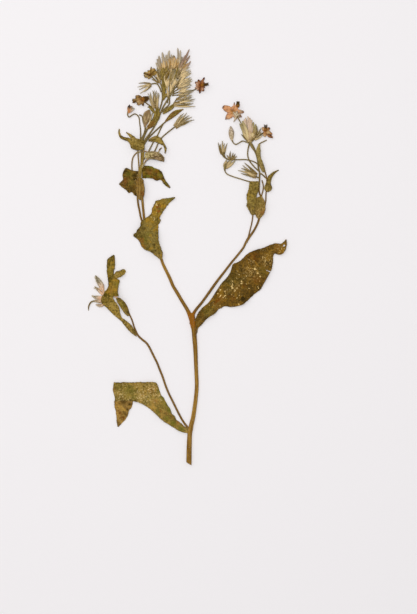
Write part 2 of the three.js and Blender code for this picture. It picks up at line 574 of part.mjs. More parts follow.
const leftCalyces = [
  { root: [-8, 88.8], tips: [[-4, 97.2], [-0.6, 98.2], [1.1, 96], [3.3, 95.2], [4.8, 93]] },
  { root: [-9.4, 103.6], tips: [[3.4, 108.8], [5.4, 107.3], [4.4, 105.9], [4.3, 104.5], [5.5, 102.3]] },
  { root: [-7.6, 107], tips: [[-1.6, 110.4], [3.2, 109.9], [4.2, 112.4]] },
  {
    root: [-22, 101.6],
    tips: [[-27.2, 111.4], [-25.4, 112.2], [-24, 113.4], [-22.6, 113.6], [-21.2, 113.2], [-19.4, 111.6]],
  },
  {
    root: [-25, 117.2],
    tips: [[-33.5, 117.9], [-34.1, 115.5], [-33.1, 113.5], [-32.5, 111], [-29.6, 112.2]],
  },
  { root: [-19.2, 118.6], tips: [[-24.6, 121], [-23.4, 123.4], [-21.2, 125.4], [-18.6, 126]] },
  {
    root: [-17.6, 126.8],
    tips: [[-22.6, 132.6], [-21.7, 135.4], [-19.6, 136.2], [-18, 138.7], [-16.4, 137.4]],
    width: 1.7,
  },
  { root: [-12.4, 127.2], tips: [[-16.2, 135], [-13.8, 138.8], [-12.2, 140], [-10.3, 138.2]], width: 1.7 },
  { root: [-8, 127.4], tips: [[-8.4, 137.4], [-6.9, 142.1], [-5.4, 141.3], [-3.6, 137.6]] },
  { root: [-6.4, 126], tips: [[-1, 139], [1.7, 141.2], [2.4, 137.2], [2.6, 133]] },
];

// The brush: a row of sepals all leaning to the right, from the stalk out to the side of the head
const BRUSH_SEPALS = 13;
const brush = Array.from({ length: BRUSH_SEPALS }, (_, i) => {
  const random = randomStream(31 + i);
  const share = i / (BRUSH_SEPALS - 1);
  return {
    root: [-10.4 + 1.6 * share + random(-0.3, 0.3), 110.4 + 14.4 * share],
    tips: [[1.6 + random(-1.4, 1.5), 114 + 15.5 * share + random(-0.5, 0.5)]],
    seed: i + 3,
  };
});
const INNER_SEPALS = 8;
const innerSepals = Array.from({ length: INNER_SEPALS }, (_, i) => {
  const random = randomStream(57 + i);
  const share = i / (INNER_SEPALS - 1);
  return {
    root: [-12.4 + 3.4 * share, 109.6 + 12 * share],
    tips: [[-6 + random(-2.2, 2.4), 117 + 12.5 * share + random(-0.6, 0.6)]],
    seed: i + 11,
    width: 1.5,
  };
});

node('left_cyme', MATERIALS.calyx, [
  ...leftStalks.map((route, i) => limb(route, STALK, { lift: () => stagger(i) })),
  ...leftBracts.map((route, i) => limb(route, BRACT, { lift: () => 0.25 + stagger(i + 0.4) })),
  ...[...leftCalyces, ...brush, ...innerSepals].flatMap((one) => calyx(one.root, one.tips, one)),
]);

// --- the calyx that hangs from the stem below the collar ---

node('drooping_calyx', MATERIALS.calyx, [
  limb([[-30, 71.2, 0.9], [-27.5, 71, 1.1], [-25.5, 69.9, 1.6]], STALK),
  limb([[-29.9, 63, 0.9], [-27.6, 65.4, 0.9], [-25.6, 67.2, 1.4]], STALK),
  limb([[-28, 68.8, 2], [-25, 69, 4.6], [-21.5, 68.6, 5.6], [-18.3, 67.2, 4.6], [-16.6, 65.4, 2.4]], BUD),
  ...calyx([-22, 69], [[-16.4, 64.4], [-15.8, 66.4], [-16.6, 68.6], [-18.6, 64.8]], { width: 2 }),
]);

// --- right head ---

const rightStalks = [
  [[48.7, 48.8, 1.1], [49, 53, 1.1], [49, 57, 1.1], [48.2, 60.5, 1.1], [48, 64, 1.1], [47.3, 68, 1.1],
    [46, 71.6, 1.1], [44.4, 74.4, 1.1], [42.4, 77.8, 1.4]],
  [[48.8, 58, 0.9], [47.5, 59.1, 0.9], [45, 61.6, 0.9], [42.1, 65.4, 0.9], [41, 69, 0.9],
    [41.2, 73, 0.9], [42.1, 77, 1]],
  [[49, 57.2, 0.9], [51, 55.8, 0.9], [52.4, 54.6, 0.8]],
  [[48.2, 62.6, 0.8], [46, 64.2, 0.8], [43, 65.4, 0.8], [39, 66.1, 0.8], [35, 66, 0.8], [30.6, 66, 0.9],
    [27.4, 66.3, 0.9], [25.4, 67.6, 0.9], [24.2, 70, 1]],
  [[48.7, 50.6, 0.9], [45, 50.6, 0.8], [41.6, 51.2, 0.8], [35, 53.2, 0.8], [30, 54.8, 0.8], [26.6, 56.5, 0.8],
    [25.3, 58.6, 0.8], [25.4, 61.2, 0.9]],
  [[48.9, 53.6, 0.9], [47, 54.2, 1], [45, 55.4, 1]],
  [[42.6, 77, 1], [40, 78, 0.8], [37.4, 78.7, 0.8], [35.4, 77.6, 0.8], [33, 76.4, 0.8], [31.2, 77.4, 0.8],
    [30.4, 79.6, 0.9]],
  [[47.4, 68, 0.8], [48.2, 73.6, 0.8], [48.8, 76.6, 0.8], [51.5, 78.2, 0.8], [54, 79.4, 0.7]],
  [[42.6, 77.6, 1.3], [44.6, 79.6, 1.4], [47.6, 81.8, 1.2], [50, 83.4, 1.2], [52, 84.4, 1]],
  [[41.8, 79, 1], [39, 84.4, 0.9], [36.8, 90, 0.8], [35.2, 93, 0.8], [33.4, 96, 0.9]],
];

const rightCalyces = [
  {
    root: [41.8, 78.4],
    tips: [[35.4, 90.3], [37.4, 92.6], [39.6, 94], [40.9, 95.6], [43.2, 94.2], [45.4, 91.8], [47.3, 89.4]],
    width: 2.6,
    rise: 2.6,
  },
  { root: [42.6, 78.6], tips: [[38.6, 89], [42.6, 90], [45.8, 86.4]], width: 2.4, rise: 3.2 },
  { root: [45.2, 80.2], tips: [[50.4, 87.6], [50.2, 85], [51.6, 82.6], [49.2, 80.6]], width: 1.6 },
  { root: [42, 78.6], tips: [[36.8, 83.4]], width: 1.8 },
  { root: [24.2, 69.6], tips: [[21, 77.8], [23, 79.2], [24.8, 77], [27.1, 77.3], [22.2, 75.4]] },
  { root: [28.6, 66.2], tips: [[27.4, 70.4], [29.9, 71.7], [32.4, 70.7], [33.8, 68.6]] },
  { root: [25.6, 60.8], tips: [[26.8, 66.2], [29.6, 66], [32.6, 65.6]], width: 2 },
  { root: [46.4, 54.6], tips: [[34.2, 58.6], [36.4, 56.9], [37.8, 60.2], [40.4, 58.4]] },
  { root: [46.6, 55.4], tips: [[37.4, 61.9], [38.6, 63.7], [41.4, 61.4]] },
];

node('corolla_5', MATERIALS.petal, [corolla([31.4, 98.6], [
  [23.9, 102.2, 6.2], [25.9, 93.6, 5.6], [34, 105.2, 5.6], [39.4, 98.2, 4.6], [33.6, 93.4, 3.8],
])]);

node('right_cyme', MATERIALS.calyx, [
  ...rightStalks.map((route, i) => limb(route, STALK, { lift: () => stagger(i) })),
  limb([[30.4, 78.8, 1.2], [30, 81.5, 3.2], [29.8, 85, 3.4], [29.5, 88.9, 0.4]], BUD),
  ...rightCalyces.flatMap((one) => calyx(one.root, one.tips, one)),
  ...calyx([33.4, 96.4], [[31.3, 91.4], [30.8, 98.6], [34.2, 99.4], [36.6, 97]], { width: 1.5, rise: 0.4 }),
]);

// --- leaves below the right head ---

node('leaf_right_low_1', MATERIALS.leaf, [blade({
  left: [[43.5, 28.3], [41.5, 32], [40, 35], [40.7, 37], [40.2, 40], [40.3, 42], [41.3, 45], [42, 49],
    [42.2, 51.2]],
  right: [[46, 28.5], [46.6, 33], [46.8, 37], [47, 41], [48.3, 45], [48.5, 49], [48.2, 51.3]],
})]);
node('leaf_right_low_2', MATERIALS.leaf, [blade({
  left: [[47.6, 26], [46.2, 28.5], [46.2, 34], [46.9, 40]],
  right: [[49.5, 26], [50.6, 27.2], [52.5, 30], [53, 34], [52, 39], [50.4, 41.2]],
})]);
node('leaf_right_narrow', MATERIALS.leaf, [blade({
  left: [[51.2, 57.4], [49.4, 60.3], [48, 64], [46.6, 70], [46.6, 72], [48.2, 76.6]],
  right: [[52.6, 57.4], [52.5, 60.3], [51.2, 64.5], [49.9, 68], [49.7, 72], [49.4, 76.6]],
  curl: 0.6,
})]);
node('leaf_right_side', MATERIALS.leaf, [blade({
  left: [[53.2, 43.8], [52.5, 47], [53.3, 50], [54, 53.5], [55, 55.8], [58, 57.6], [62, 59]],
  right: [[54.4, 43.8], [57.2, 46.5], [56.8, 49], [57.2, 52], [58.5, 55], [60.5, 57.2], [62.2, 58.6]],
  curl: 0.8,
})]);

// --- low side shoot: buds at the left, then its leaves over them ---

node('low_cyme', MATERIALS.calyx, [
  limb([[-46.9, -28.3, 0.9], [-51, -26.8, 1], [-55, -26.6, 1.2], [-58, -26.6, 1.4]], STALK),
  limb([[-55.6, -26.4, 1.6], [-57.4, -23.4, 1.4], [-58.4, -20, 3], [-60.6, -16.4, 2.8],
    [-62.9, -12.8, 0.4]], BUD),
  limb([[-56.4, -26.6, 1.4], [-59, -24.6, 2], [-61, -22.6, 1.9], [-63.4, -20.4, 0.5]], BUD),
  limb([[-56.6, -26.8, 1.4], [-59.6, -28.2, 2.6], [-62.6, -27.8, 2.2], [-65.4, -26.7, 0.6]], BUD),
  limb([[-56.4, -27.4, 1.4], [-58.6, -30, 2.6], [-61, -30.4, 2.4], [-64.2, -30.2, 0.8]], BUD),
  limb([[-56.6, -28.2, 1.4], [-57.4, -32.6, 2], [-59.6, -33.4, 2.2], [-62.6, -32.8, 0.6]], BUD),
  limb([[-63.4, -30.2, 0.9], [-65.6, -31, 1], [-67.2, -33.6, 1], [-67.6, -36.8, 0.4]], STALK),
  ...calyx([-57.6, -22.6], [[-63.3, -13.6], [-60.6, -14.4], [-64, -21.4]], { rise: 1.4 }),
]);

node('leaf_low_a', MATERIALS.leaf, [blade({
  left: [[-34.6, -54.6], [-38, -52.3], [-41, -49.2], [-44, -45.7], [-46, -43.2], [-50, -40], [-53, -37],
    [-56, -34], [-58.5, -31.5], [-59, -29], [-58, -26.8]],
  right: [[-34.9, -53.4], [-36.6, -50.6], [-38.6, -48.2], [-42, -44.7], [-45, -41.5], [-46, -38],
    [-46.6, -35], [-48.6, -31.5], [-50.6, -28.9], [-50.4, -26.8]],
  curl: 0.8,
})]);
node('leaf_low_b', MATERIALS.leaf, [blade({
  left: [[-40.8, -40.6], [-42.4, -39.6], [-45, -36], [-46.5, -32.5], [-48, -29.2]],
  right: [[-39.6, -40.2], [-40, -37], [-42, -33], [-44.6, -29.8], [-47.2, -28.2]],
  curl: 0.5,
})]);
node('leaf_low_c', MATERIALS.leaf, [blade({
  left: [[-57.4, -26.8], [-56.6, -24.4], [-54.7, -22], [-54, -20], [-54.3, -15], [-55, -10], [-55, -6],
    [-54.5, -2], [-50.4, 1.2]],
  right: [[-46.8, -27], [-47.4, -24], [-47, -20], [-46.2, -16.5], [-47.5, -15.3], [-49.8, -13.5],
    [-50.3, -11], [-49.5, -7], [-49.5, -2], [-49.7, 0.8]],
})]);
node('leaf_low_d', MATERIALS.leaf, [blade({
  left: [[-50.6, -12.6], [-48.5, -10.3], [-46, -9.5], [-43.5, -8.6], [-42.2, -9.4]],
  right: [[-48.4, -15], [-46, -14], [-43.5, -12.5], [-42, -10.3]],
  curl: 0.6,
})]);

// --- collar leaves at the base of the left head ---

node('leaf_collar_left', MATERIALS.leaf, [
  blade({
    left: [[-29.2, 72.9], [-34, 72.3], [-38, 73.5], [-39.5, 77], [-40.6, 78.4], [-45.5, 80.5],
      [-47.1, 84], [-46.8, 87]],
    right: [[-29.2, 78.6], [-34, 80.2], [-38.5, 80.6], [-40.5, 80.9], [-44.5, 82], [-45.9, 84],
      [-46.3, 87]],
  }),
  blade({
    left: [[-37.4, 78], [-38.8, 80.6], [-40.2, 82.6], [-42, 84.4]],
    right: [[-34, 78.4], [-35.6, 81], [-38, 82.8], [-41.6, 84.9]],
    curl: 0.2,
  }),
]);
node('leaf_collar_right', MATERIALS.leaf, [blade({
  left: [[-26.6, 79.6], [-24.5, 81], [-21.5, 82.3], [-18, 80.6], [-16, 77.2], [-14.3, 73.5], [-15, 70]],
  right: [[-26.6, 78.4], [-24, 78.2], [-22, 78], [-19, 76.8], [-16.6, 75.4], [-15.6, 73], [-15.6, 70]],
  curl: 0.5,
  cell: 2,
})]);

// --- flowers: pointed petals round a dark cone of anthers ---

// drop: how far the cone sinks into the hollow of its corolla
const antherCone = (route, drop) => limb(route, CONE, { level: true, lift: () => -drop });

const flowers = [
  {
    number: 1,
    throat: [-25.4, 123.6],
    petals: [[-29.2, 126.4, 3], [-30.6, 122.6, 3.4], [-27.4, 120.8, 2.6], [-24.8, 129.6, 3.6],
      [-21.6, 127.4, 2.8]],
    cone: [[-25.4, 123.6, 1.4], [-27.2, 124.2, 1.8], [-28.9, 124.8, 1.3], [-30, 125.2, 0.4]],
    drop: 0.4,
  },
  {
    number: 2,
    throat: [-30.4, 106.4],
    petals: [[-38.7, 105.8, 3.6], [-35, 109.6, 3.6], [-34.2, 102.8, 3.4], [-29.6, 102.6, 2.8],
      [-26.2, 107.6, 4]],
    cone: [[-30.4, 106.4, 2.1], [-28.8, 107.4, 2.6], [-27.3, 108.2, 1.8], [-26.3, 108.8, 0.4]],
    drop: 0.15,
  },
  {
    number: 4,
    throat: [8.8, 116.4],
    petals: [[5, 118.8, 4], [6.4, 111.8, 3.6], [9.2, 110.8, 3.6], [11.6, 122, 3.8], [12.6, 113, 3.4]],
    cone: [[8.8, 116.4, 1.9], [11, 116.8, 2.4], [12.9, 117.2, 1.7], [14.2, 117.4, 0.4]],
    drop: 0.8,
  },
  {
    number: 6,
    throat: [52.4, 84.6],
    petals: [[57.9, 80.8, 3.8], [56.2, 87.8, 3.8], [51, 88.4, 3.2], [58.3, 84, 3], [53.4, 81.2, 3]],
    sink: 0.2,
    cone: [[52.4, 84.6, 1.9], [52.8, 86.8, 2.4], [53.2, 88.7, 1.7], [53.4, 90, 0.4]],
    drop: 0.1,
  },
];
flowers.forEach(({ number, throat, petals, sink, cone, drop }) => {
  node(`corolla_${number}`, MATERIALS.petal, [corolla(throat, petals, sink)]);
  node(`anther_cone_${number}`, MATERIALS.anther, [antherCone(cone, drop)]);
});

node('anther_cone_5', MATERIALS.anther, [
  antherCone([[34.6, 101.4, 1.8], [34.6, 103.2, 2.3], [34.7, 105, 1.8], [34.9, 106.6, 0.6]], 0.6),
]);

// two torn corollas: one with two petals left, one with three
node('corolla_3', MATERIALS.petal, [corolla([-40.1, 98.2], [[-39.6, 103.9, 3], [-35.7, 101, 2.6]])]);
node('corolla_7', MATERIALS.petal, [
  corolla([-9, 129.6], [[-13.4, 136.8, 4], [-9.4, 137, 4], [-4.4, 136, 4]]),
]);

export default plant;
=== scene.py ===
import math
import random

import bmesh
import bpy
import numpy as np
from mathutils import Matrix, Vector, noise
from mathutils.bvhtree import BVHTree


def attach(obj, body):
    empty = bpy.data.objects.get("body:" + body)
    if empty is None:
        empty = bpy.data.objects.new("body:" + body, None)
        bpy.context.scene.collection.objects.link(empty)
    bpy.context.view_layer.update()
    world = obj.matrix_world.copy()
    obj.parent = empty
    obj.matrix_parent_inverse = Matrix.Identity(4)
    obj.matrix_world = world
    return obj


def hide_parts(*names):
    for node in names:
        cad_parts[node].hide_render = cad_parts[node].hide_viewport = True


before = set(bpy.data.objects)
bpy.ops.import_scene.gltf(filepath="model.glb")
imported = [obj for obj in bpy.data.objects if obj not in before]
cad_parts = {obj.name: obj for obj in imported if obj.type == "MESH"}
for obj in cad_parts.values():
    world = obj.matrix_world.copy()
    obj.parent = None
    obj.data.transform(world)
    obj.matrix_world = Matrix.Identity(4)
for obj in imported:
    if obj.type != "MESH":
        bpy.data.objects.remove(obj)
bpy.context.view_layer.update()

# A stem of borage in flower, cut, dried and pressed flat. All sizes below are in millimetres, in the
# frame of the solids: +Y along the stem to the flowers, +Z up from the surface it lies on.
MM = 0.001


# ------------------------------------------------------------------------- table top, light, camera
# The plant lies on a pale table top under a soft lamp overhead, with a weaker and broader one at its
# upper left, and the camera looks straight down on it.
VIEW_CENTRE = (14.3, -34.4)
VIEW_LENGTH = 418.7  # of the table, along the long side of the picture
CAMERA_HEIGHT = 1500
SENSOR = 36
TABLE_SIZE = 8000
TABLE_LEVEL = -0.05  # just clear of the undersides


def tone(code):
    """The linear colour of a six-figure colour code"""
    shares = [int(code[i:i + 2], 16) / 255 for i in (0, 2, 4)]
    return (*(s / 12.92 if s < 0.04045 else ((s + 0.055) / 1.055) ** 2.4 for s in shares), 1)


bpy.ops.object.camera_add(location=(VIEW_CENTRE[0] * MM, VIEW_CENTRE[1] * MM, CAMERA_HEIGHT * MM),
                          rotation=(0, 0, 0))
camera = bpy.context.object
camera.data.sensor_width = SENSOR
camera.data.lens = SENSOR * CAMERA_HEIGHT / VIEW_LENGTH
bpy.context.scene.camera = camera
bpy.context.scene.view_settings.view_transform = "Standard"

bpy.ops.mesh.primitive_plane_add(size=TABLE_SIZE * MM, location=(0, 0, TABLE_LEVEL * MM))
table_top = bpy.context.object
table_top.name = "table_top"
table_skin = bpy.data.materials.new("pale_table_top")
table_skin.use_nodes = True
table_skin.node_tree.nodes["Principled BSDF"].inputs["Base Color"].default_value = tone("f3f0f1")
table_skin.node_tree.nodes["Principled BSDF"].inputs["Roughness"].default_value = 0.9
table_top.data.materials.append(table_skin)

sky = bpy.data.worlds.new("studio")
sky.use_nodes = True
sky.node_tree.nodes["Background"].inputs["Color"].default_value = (1, 0.99, 1, 1)
sky.node_tree.nodes["Background"].inputs["Strength"].default_value = 0.4
bpy.context.scene.world = sky


def soft_light(name, place, size, power):
    """A round lamp that faces the plant, its place and size in metres"""
    bpy.ops.object.light_add(type="AREA", location=place)
    light = bpy.context.object
    light.name = name
    light.data.shape = "DISK"
    light.data.size = size
    light.data.energy = power
    light.rotation_euler = (-Vector(place)).to_track_quat("-Z", "Y").to_euler()


soft_light("overhead_light", (-0.12, 0.16, 1.9), 0.5, 18.6)
soft_light("side_light", (-0.9, 0.9, 1.2), 1.4, 5)


# --------------------------------------------------------------------------------------- the stems
# One grown stem with its fork, the two branches and the low side branch, pressed to a flat oval and
# dried: straw-brown, ribbed lengthwise, rust-red at the fork. Its lower end is cut on the slant.
class Shade:
    """A value or colour in a material's nodes. Arithmetic on values adds Math nodes."""

    def __init__(self, tree, socket=None):
        self.tree = tree
        self.socket = socket

    def node(self, kind, settings, values, output=0):
        made = self.tree.nodes.new("ShaderNode" + kind)
        for name, value in settings.items():
            setattr(made, name, value)
        for key, value in values.items():
            if isinstance(value, Shade):
                self.tree.links.new(value.socket, made.inputs[key])
            else:
                made.inputs[key].default_value = value
        return Shade(self.tree, made.outputs[output])

    def maths(self, operation, a, b):
        return self.node("Math", {"operation": operation}, {0: a, 1: b})

    def __add__(self, other):
        return self.maths("ADD", self, other)

    def __radd__(self, other):
        return self.maths("ADD", other, self)

    def __sub__(self, other):
        return self.maths("SUBTRACT", self, other)

    def __rsub__(self, other):
        return self.maths("SUBTRACT", other, self)

    def __mul__(self, other):
        return self.maths("MULTIPLY", self, other)

    def __rmul__(self, other):
        return self.maths("MULTIPLY", other, self)

    def between(self, low, high):
        """0 below low and 1 above high, with a smooth rise between"""
        return self.node("MapRange", {"interpolation_type": "SMOOTHSTEP"}, {0: self, 1: low, 2: high})

    def mix(self, first, second):
        """first where this value is 0, second where it is 1"""
        return self.node("Mix", {"data_type": "RGBA"}, {0: self, 6: first, 7: second}, 2)

    def part(self, axis):
        return self.node("SeparateXYZ", {}, {0: self}, axis)

    def attribute(self, name, output="Fac"):
        return self.node("Attribute", {"attribute_name": name}, {}, output)

    def place(self):
        """The place on the object in millimetres"""
        metres = self.node("TexCoord", {}, {}, "Object")
        return self.node("VectorMath", {"operation": "SCALE"}, {0: metres, "Scale": 1 / MM})

    def streaks(self, squeeze, detail=3):
        """Noise on the grain attribute, drawn out along its piece"""
        grain = self.attribute("grain", "Vector")
        drawn = self.node("VectorMath", {"operation": "MULTIPLY"}, {0: grain, 1: squeeze})
        return self.node("TexNoise", {}, {"Vector": drawn, "Scale": 1, "Detail": detail})

    def mottle(self, place, size, detail=3):
        """Cloudy noise with blotches of about that size"""
        return self.node("TexNoise", {}, {"Vector": place, "Scale": 1 / size, "Detail": detail})

    def margin(self, low, high):
        """1 at the sides of a limb, which fades between low and high to 0 over its upper side"""
        return 1 - self.attribute("grain", "Vector").part("Y").between(low, high)


def new_material(name):
    material = bpy.data.materials.new(name)
    material.use_nodes = True
    return material, Shade(material.node_tree)


def finish_material(material, colour, roughness, relief=None, depth=0.1, gloss=0.08):
    """Links colour, roughness and relief, which is 0 to 1 and depth millimetres high, to the surface"""
    surface = material.node_tree.nodes["Principled BSDF"]
    links = material.node_tree.links
    links.new(colour.socket, surface.inputs["Base Color"])
    surface.inputs["Specular IOR Level"].default_value = gloss
    if isinstance(roughness, Shade):
        links.new(roughness.socket, surface.inputs["Roughness"])
    else:
        surface.inputs["Roughness"].default_value = roughness
    if relief is not None:
        bump = relief.node("Bump", {}, {"Strength": 0.6, "Distance": depth * MM, "Height": relief}, "Normal")
        links.new(bump.socket, surface.inputs["Normal"])
    return material


def path_length(points):
    return np.linalg.norm(np.diff(points, axis=0), axis=1).sum()


def unit(vector):
    """The vector with a length of 1"""
    return vector / max(np.linalg.norm(vector), 1e-6)


KNOT_STEPS = 24  # fine steps of a smooth line from knot to knot


def smooth_line(knots, count=None, step=None):
    """Evenly spaced points on a smooth line through the knots, as many as count or about step apart"""
    p = np.array(knots, float)
    p = np.vstack([2 * p[0] - p[1], p, 2 * p[-1] - p[-2]])
    gaps = np.maximum(np.linalg.norm(np.diff(p[:, :2], axis=0), axis=1), 1e-6) ** 0.5
    u = np.linspace(0, 1, KNOT_STEPS, endpoint=False)[:, None]
    parts = []
    for i in range(1, len(p) - 2):
        before, here, after = gaps[i - 1:i + 2]
        a, b, c, d = p[i - 1:i + 3]
        leave = ((b - a) / before - (c - a) / (before + here) + (c - b) / here) * here
        reach = ((c - b) / here - (d - b) / (here + after) + (d - c) / after) * here
        turn = 2 * b - 2 * c + leave + reach
        bend = -3 * b + 3 * c - 2 * leave - reach
        parts.append(b + leave * u + bend * u ** 2 + turn * u ** 3)
    line = np.vstack([*parts, p[-2:-1]])
    run = np.concatenate([[0], np.cumsum(np.linalg.norm(np.diff(line[:, :2], axis=0), axis=1))])
    if count is None:
        count = max(4, int(run[-1] / step) + 1)
    at = np.linspace(0, run[-1], count)
    return np.stack([np.interp(at, run, line[:, k]) for k in range(line.shape[1])], axis=1)


FAR_OFF = 100  # above or below the plant, to look at a solid from
BESIDE_LEVEL = 0.8  # height in the solid that is nearest to places beside it, seen from above


class Solid:
    """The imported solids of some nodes, to read heights from"""

    def __init__(self, *nodes):
        points, faces = [], []
        for node in nodes:
            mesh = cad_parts[node].data
            faces += [tuple(i + len(points) for i in face.vertices) for face in mesh.polygons]
            points += [vertex.co.copy() for vertex in mesh.vertices]
        self.tree = BVHTree.FromPolygons(points, faces)
        heights = [point.z / MM for point in points]
        self.low, self.high = min(heights), max(heights)

    def height(self, x, y, from_above):
        start = Vector((x * MM, y * MM, (FAR_OFF if from_above else -FAR_OFF) * MM))
        hit = self.tree.ray_cast(start, Vector((0, 0, -1 if from_above else 1)))[0]
        if hit is None:
            share = BESIDE_LEVEL if from_above else 1 - BESIDE_LEVEL
            level = self.low + (self.high - self.low) * share
            hit = self.tree.find_nearest(Vector((x * MM, y * MM, level * MM)))[0]
        return hit.z / MM

    def heights(self, places, from_above=True):
        """The level of the upper or the lower skin at each of the places"""
        levels = [self.height(x, y, from_above) for x, y in places.reshape(-1, 2)]
        return np.array(levels).reshape(places.shape[:-1])


def eased(values, rounds=1):
    """The same heights with their steps smoothed away; the ends stay"""
    for _ in range(rounds):
        values[1:-1] = 0.25 * values[:-2] + 0.5 * values[1:-1] + 0.25 * values[2:]
    return values


THINNEST = 0.06  # a limb's least width
LEAST_LEVEL = 0.02  # of a bristle's tip, and of the underside of a leaf or a petal
RIB_SHARE = 0.54  # of the height of a limb, from its middle to its ribs
LIMB_EASING = 6  # rounds of smoothing of a limb's heights
BRISTLE_FOOT = 0.9  # of the way out to the skin, where a bristle is rooted
BRISTLE_TURNS = (-0.3, 3.44)  # round a limb, from below one side over the top to below the other


def with_widths(knots):
    """The knots [x, y, width], those without a width with that of the one before"""
    filled = []
    for knot in knots:
        filled.append([*knot, filled[-1][2]] if len(knot) == 2 else knot)
    return filled


class Limb:
    """A stem, stalk, sepal or bud along knots of [x, y, width], lying as its solid does. A knot
    without a width has the one before's."""

    def __init__(self, knots, solid, flatness, step, from_above=True, lift=0.0):
        line = smooth_line(with_widths(knots), step=step)
        self.width = np.maximum(line[:, 2], THINNEST)
        self.tall = self.width * flatness
        levels = solid.heights(line[:, :2], from_above)
        levels = levels - self.tall / 2 if from_above else levels + self.tall / 2
        floor = self.tall * RIB_SHARE
        levels = np.maximum(eased(np.maximum(levels, floor), LIMB_EASING) + lift, floor)
        self.centre = np.column_stack([line[:, :2], levels])
        along = np.gradient(self.centre, axis=0)
        self.along = along / np.linalg.norm(along, axis=1)[:, None]
        across = np.column_stack([self.along[:, 1], -self.along[:, 0], np.zeros(len(line))])
        self.across = across / np.linalg.norm(across, axis=1)[:, None]
        self.up = np.cross(self.across, self.along)
        self.run = np.linspace(0, 1, len(line))
        self.length = path_length(self.centre)

    def bristle_root(self, share, turn):
        """A point just under the skin, the way out of it there and the way along the limb"""
        place = share * (len(self.run) - 1)
        i = min(int(place), len(self.run) - 2)
        rest = place - i
        pick = lambda values: values[i] * (1 - rest) + values[i + 1] * rest
        side, top = math.cos(turn), math.sin(turn)
        out = pick(self.across) * side + pick(self.up) * top
        half = np.hypot(side * pick(self.width) / 2, top * pick(self.tall) / 2)
        return pick(self.centre) + out * half * BRISTLE_FOOT, out, pick(self.along)


def add_layer(mesh, name, values):
    """A value, or for the grain a vector, at each point of the mesh"""
    kind, field = ("FLOAT_VECTOR", "vector") if name == "grain" else ("FLOAT", "value")
    layer = mesh.attributes.new(name, kind, "POINT")
    layer.data.foreach_set(field, np.asarray(values, np.float32).ravel())


def new_piece(name, points, faces, material):
    """A mesh from points in millimetres, as the only selected object"""
    mesh = bpy.data.meshes.new(name)
    mesh.from_pydata((points * MM).tolist(), [], faces)
    mesh.materials.append(material)
    piece = bpy.data.objects.new(name, mesh)
    bpy.context.scene.collection.objects.link(piece)
    bpy.ops.object.select_all(action="DESELECT")
    bpy.context.view_layer.objects.active = piece
    piece.select_set(True)
    return piece


def settle(piece, node):
    """Puts the piece in the place of the node"""
    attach(piece, "root")
    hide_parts(node)


class Bundle:
    """Limbs and bristles gathered into one mesh. grain runs round and along each limb, along goes
    from its root to its tip, and tint is a free share for the material."""

    def __init__(self):
        self.points, self.faces, self.grain, self.along, self.tint = [], [], [], [], []
        self.count = 0

    def add(self, points, faces, grain, along, tint):
        self.points.append(points)
        self.faces.extend([tuple(i + self.count for i in face) for face in faces])
        self.grain.append(grain)
        self.along.append(along)
        self.tint.append(np.broadcast_to(tint, (len(points),)))
        self.count += len(points)

    def add_limb(self, limb, sides, tint, keel=0.0, ribs=0, rib=0.0):
        """The closed skin of a limb, with ribs along it or a keel on its upper side"""
        turn = np.arange(sides) * 2 * math.pi / sides
        swell = 1 + rib * np.cos(ribs * turn + 0.6)
        side = np.cos(turn) * swell / 2
        top = np.sin(turn) * swell / 2 + keel * np.maximum(0, np.sin(turn)) ** 6
        rings = len(limb.run)
        points = (
            limb.centre[:, None]
            + limb.across[:, None] * (limb.width[:, None] * side)[..., None]
            + limb.up[:, None] * (limb.tall[:, None] * top)[..., None]
        ).reshape(-1, 3)
        faces = []
        for ring in range(rings - 1):
            for j in range(sides):
                a, b = ring * sides + j, ring * sides + (j + 1) % sides
                faces.append((a, a + sides, b + sides, b))
        faces.append(tuple(range(sides)))
        faces.append(tuple(reversed(range((rings - 1) * sides, rings * sides))))
        around = np.tile(np.column_stack([np.cos(turn), np.sin(turn)]), (rings, 1))
        far = np.repeat(limb.run * limb.length, sides)
        self.add(points, faces, np.column_stack([around, far]), np.repeat(limb.run, sides), tint)

    def add_bristle(self, root, way, length, thick, tint):
        """A stiff hair: a thin three-sided point"""
        aside = unit(np.cross(way, (0.3, 0.2, 0.93)))
        other = np.cross(way, aside)
        base = [root + thick * (aside * math.cos(a) + other * math.sin(a)) for a in (0, 2.094, 4.189)]
        self.add(np.array([*base, root + way * length]), [(0, 1, 3), (1, 2, 3), (2, 0, 3), (0, 2, 1)],
                 np.zeros((4, 3)), np.array([0, 0, 0, 1.0]), tint)

    def bristle_limb(self, limb, per_mm, length, draw, thick=0.045):
        """Bristles on the upper skin and the sides of a limb, leaning to its tip"""
        for _ in range(int(limb.length * per_mm)):
            root, out, along = limb.bristle_root(draw.uniform(0.02, 0.97), draw.uniform(*BRISTLE_TURNS))
            way = out + along * draw.uniform(0, 0.9)
            way += np.array([draw.uniform(-0.25, 0.25), draw.uniform(-0.25, 0.25), draw.uniform(-0.1, 0.2)])
            reach = length * draw.uniform(0.55, 1.25)
            way = unit(way)
            if root[2] + way[2] * reach < LEAST_LEVEL:
                way[2] = abs(way[2])
            self.add_bristle(root, way, reach, thick, draw.random())

    def build(self, name, material, slot, node, smooth=True):
        """The whole bundle as a piece in the place of the node"""
        piece = new_piece(name, np.vstack(self.points), self.faces, material)
        for label, values in (("grain", self.grain), ("along", self.along), ("tint", self.tint)):
            add_layer(piece.data, label, np.concatenate(values))
        piece.data.polygons.foreach_set("use_smooth", [smooth] * len(piece.data.polygons))
        settle(piece, node)


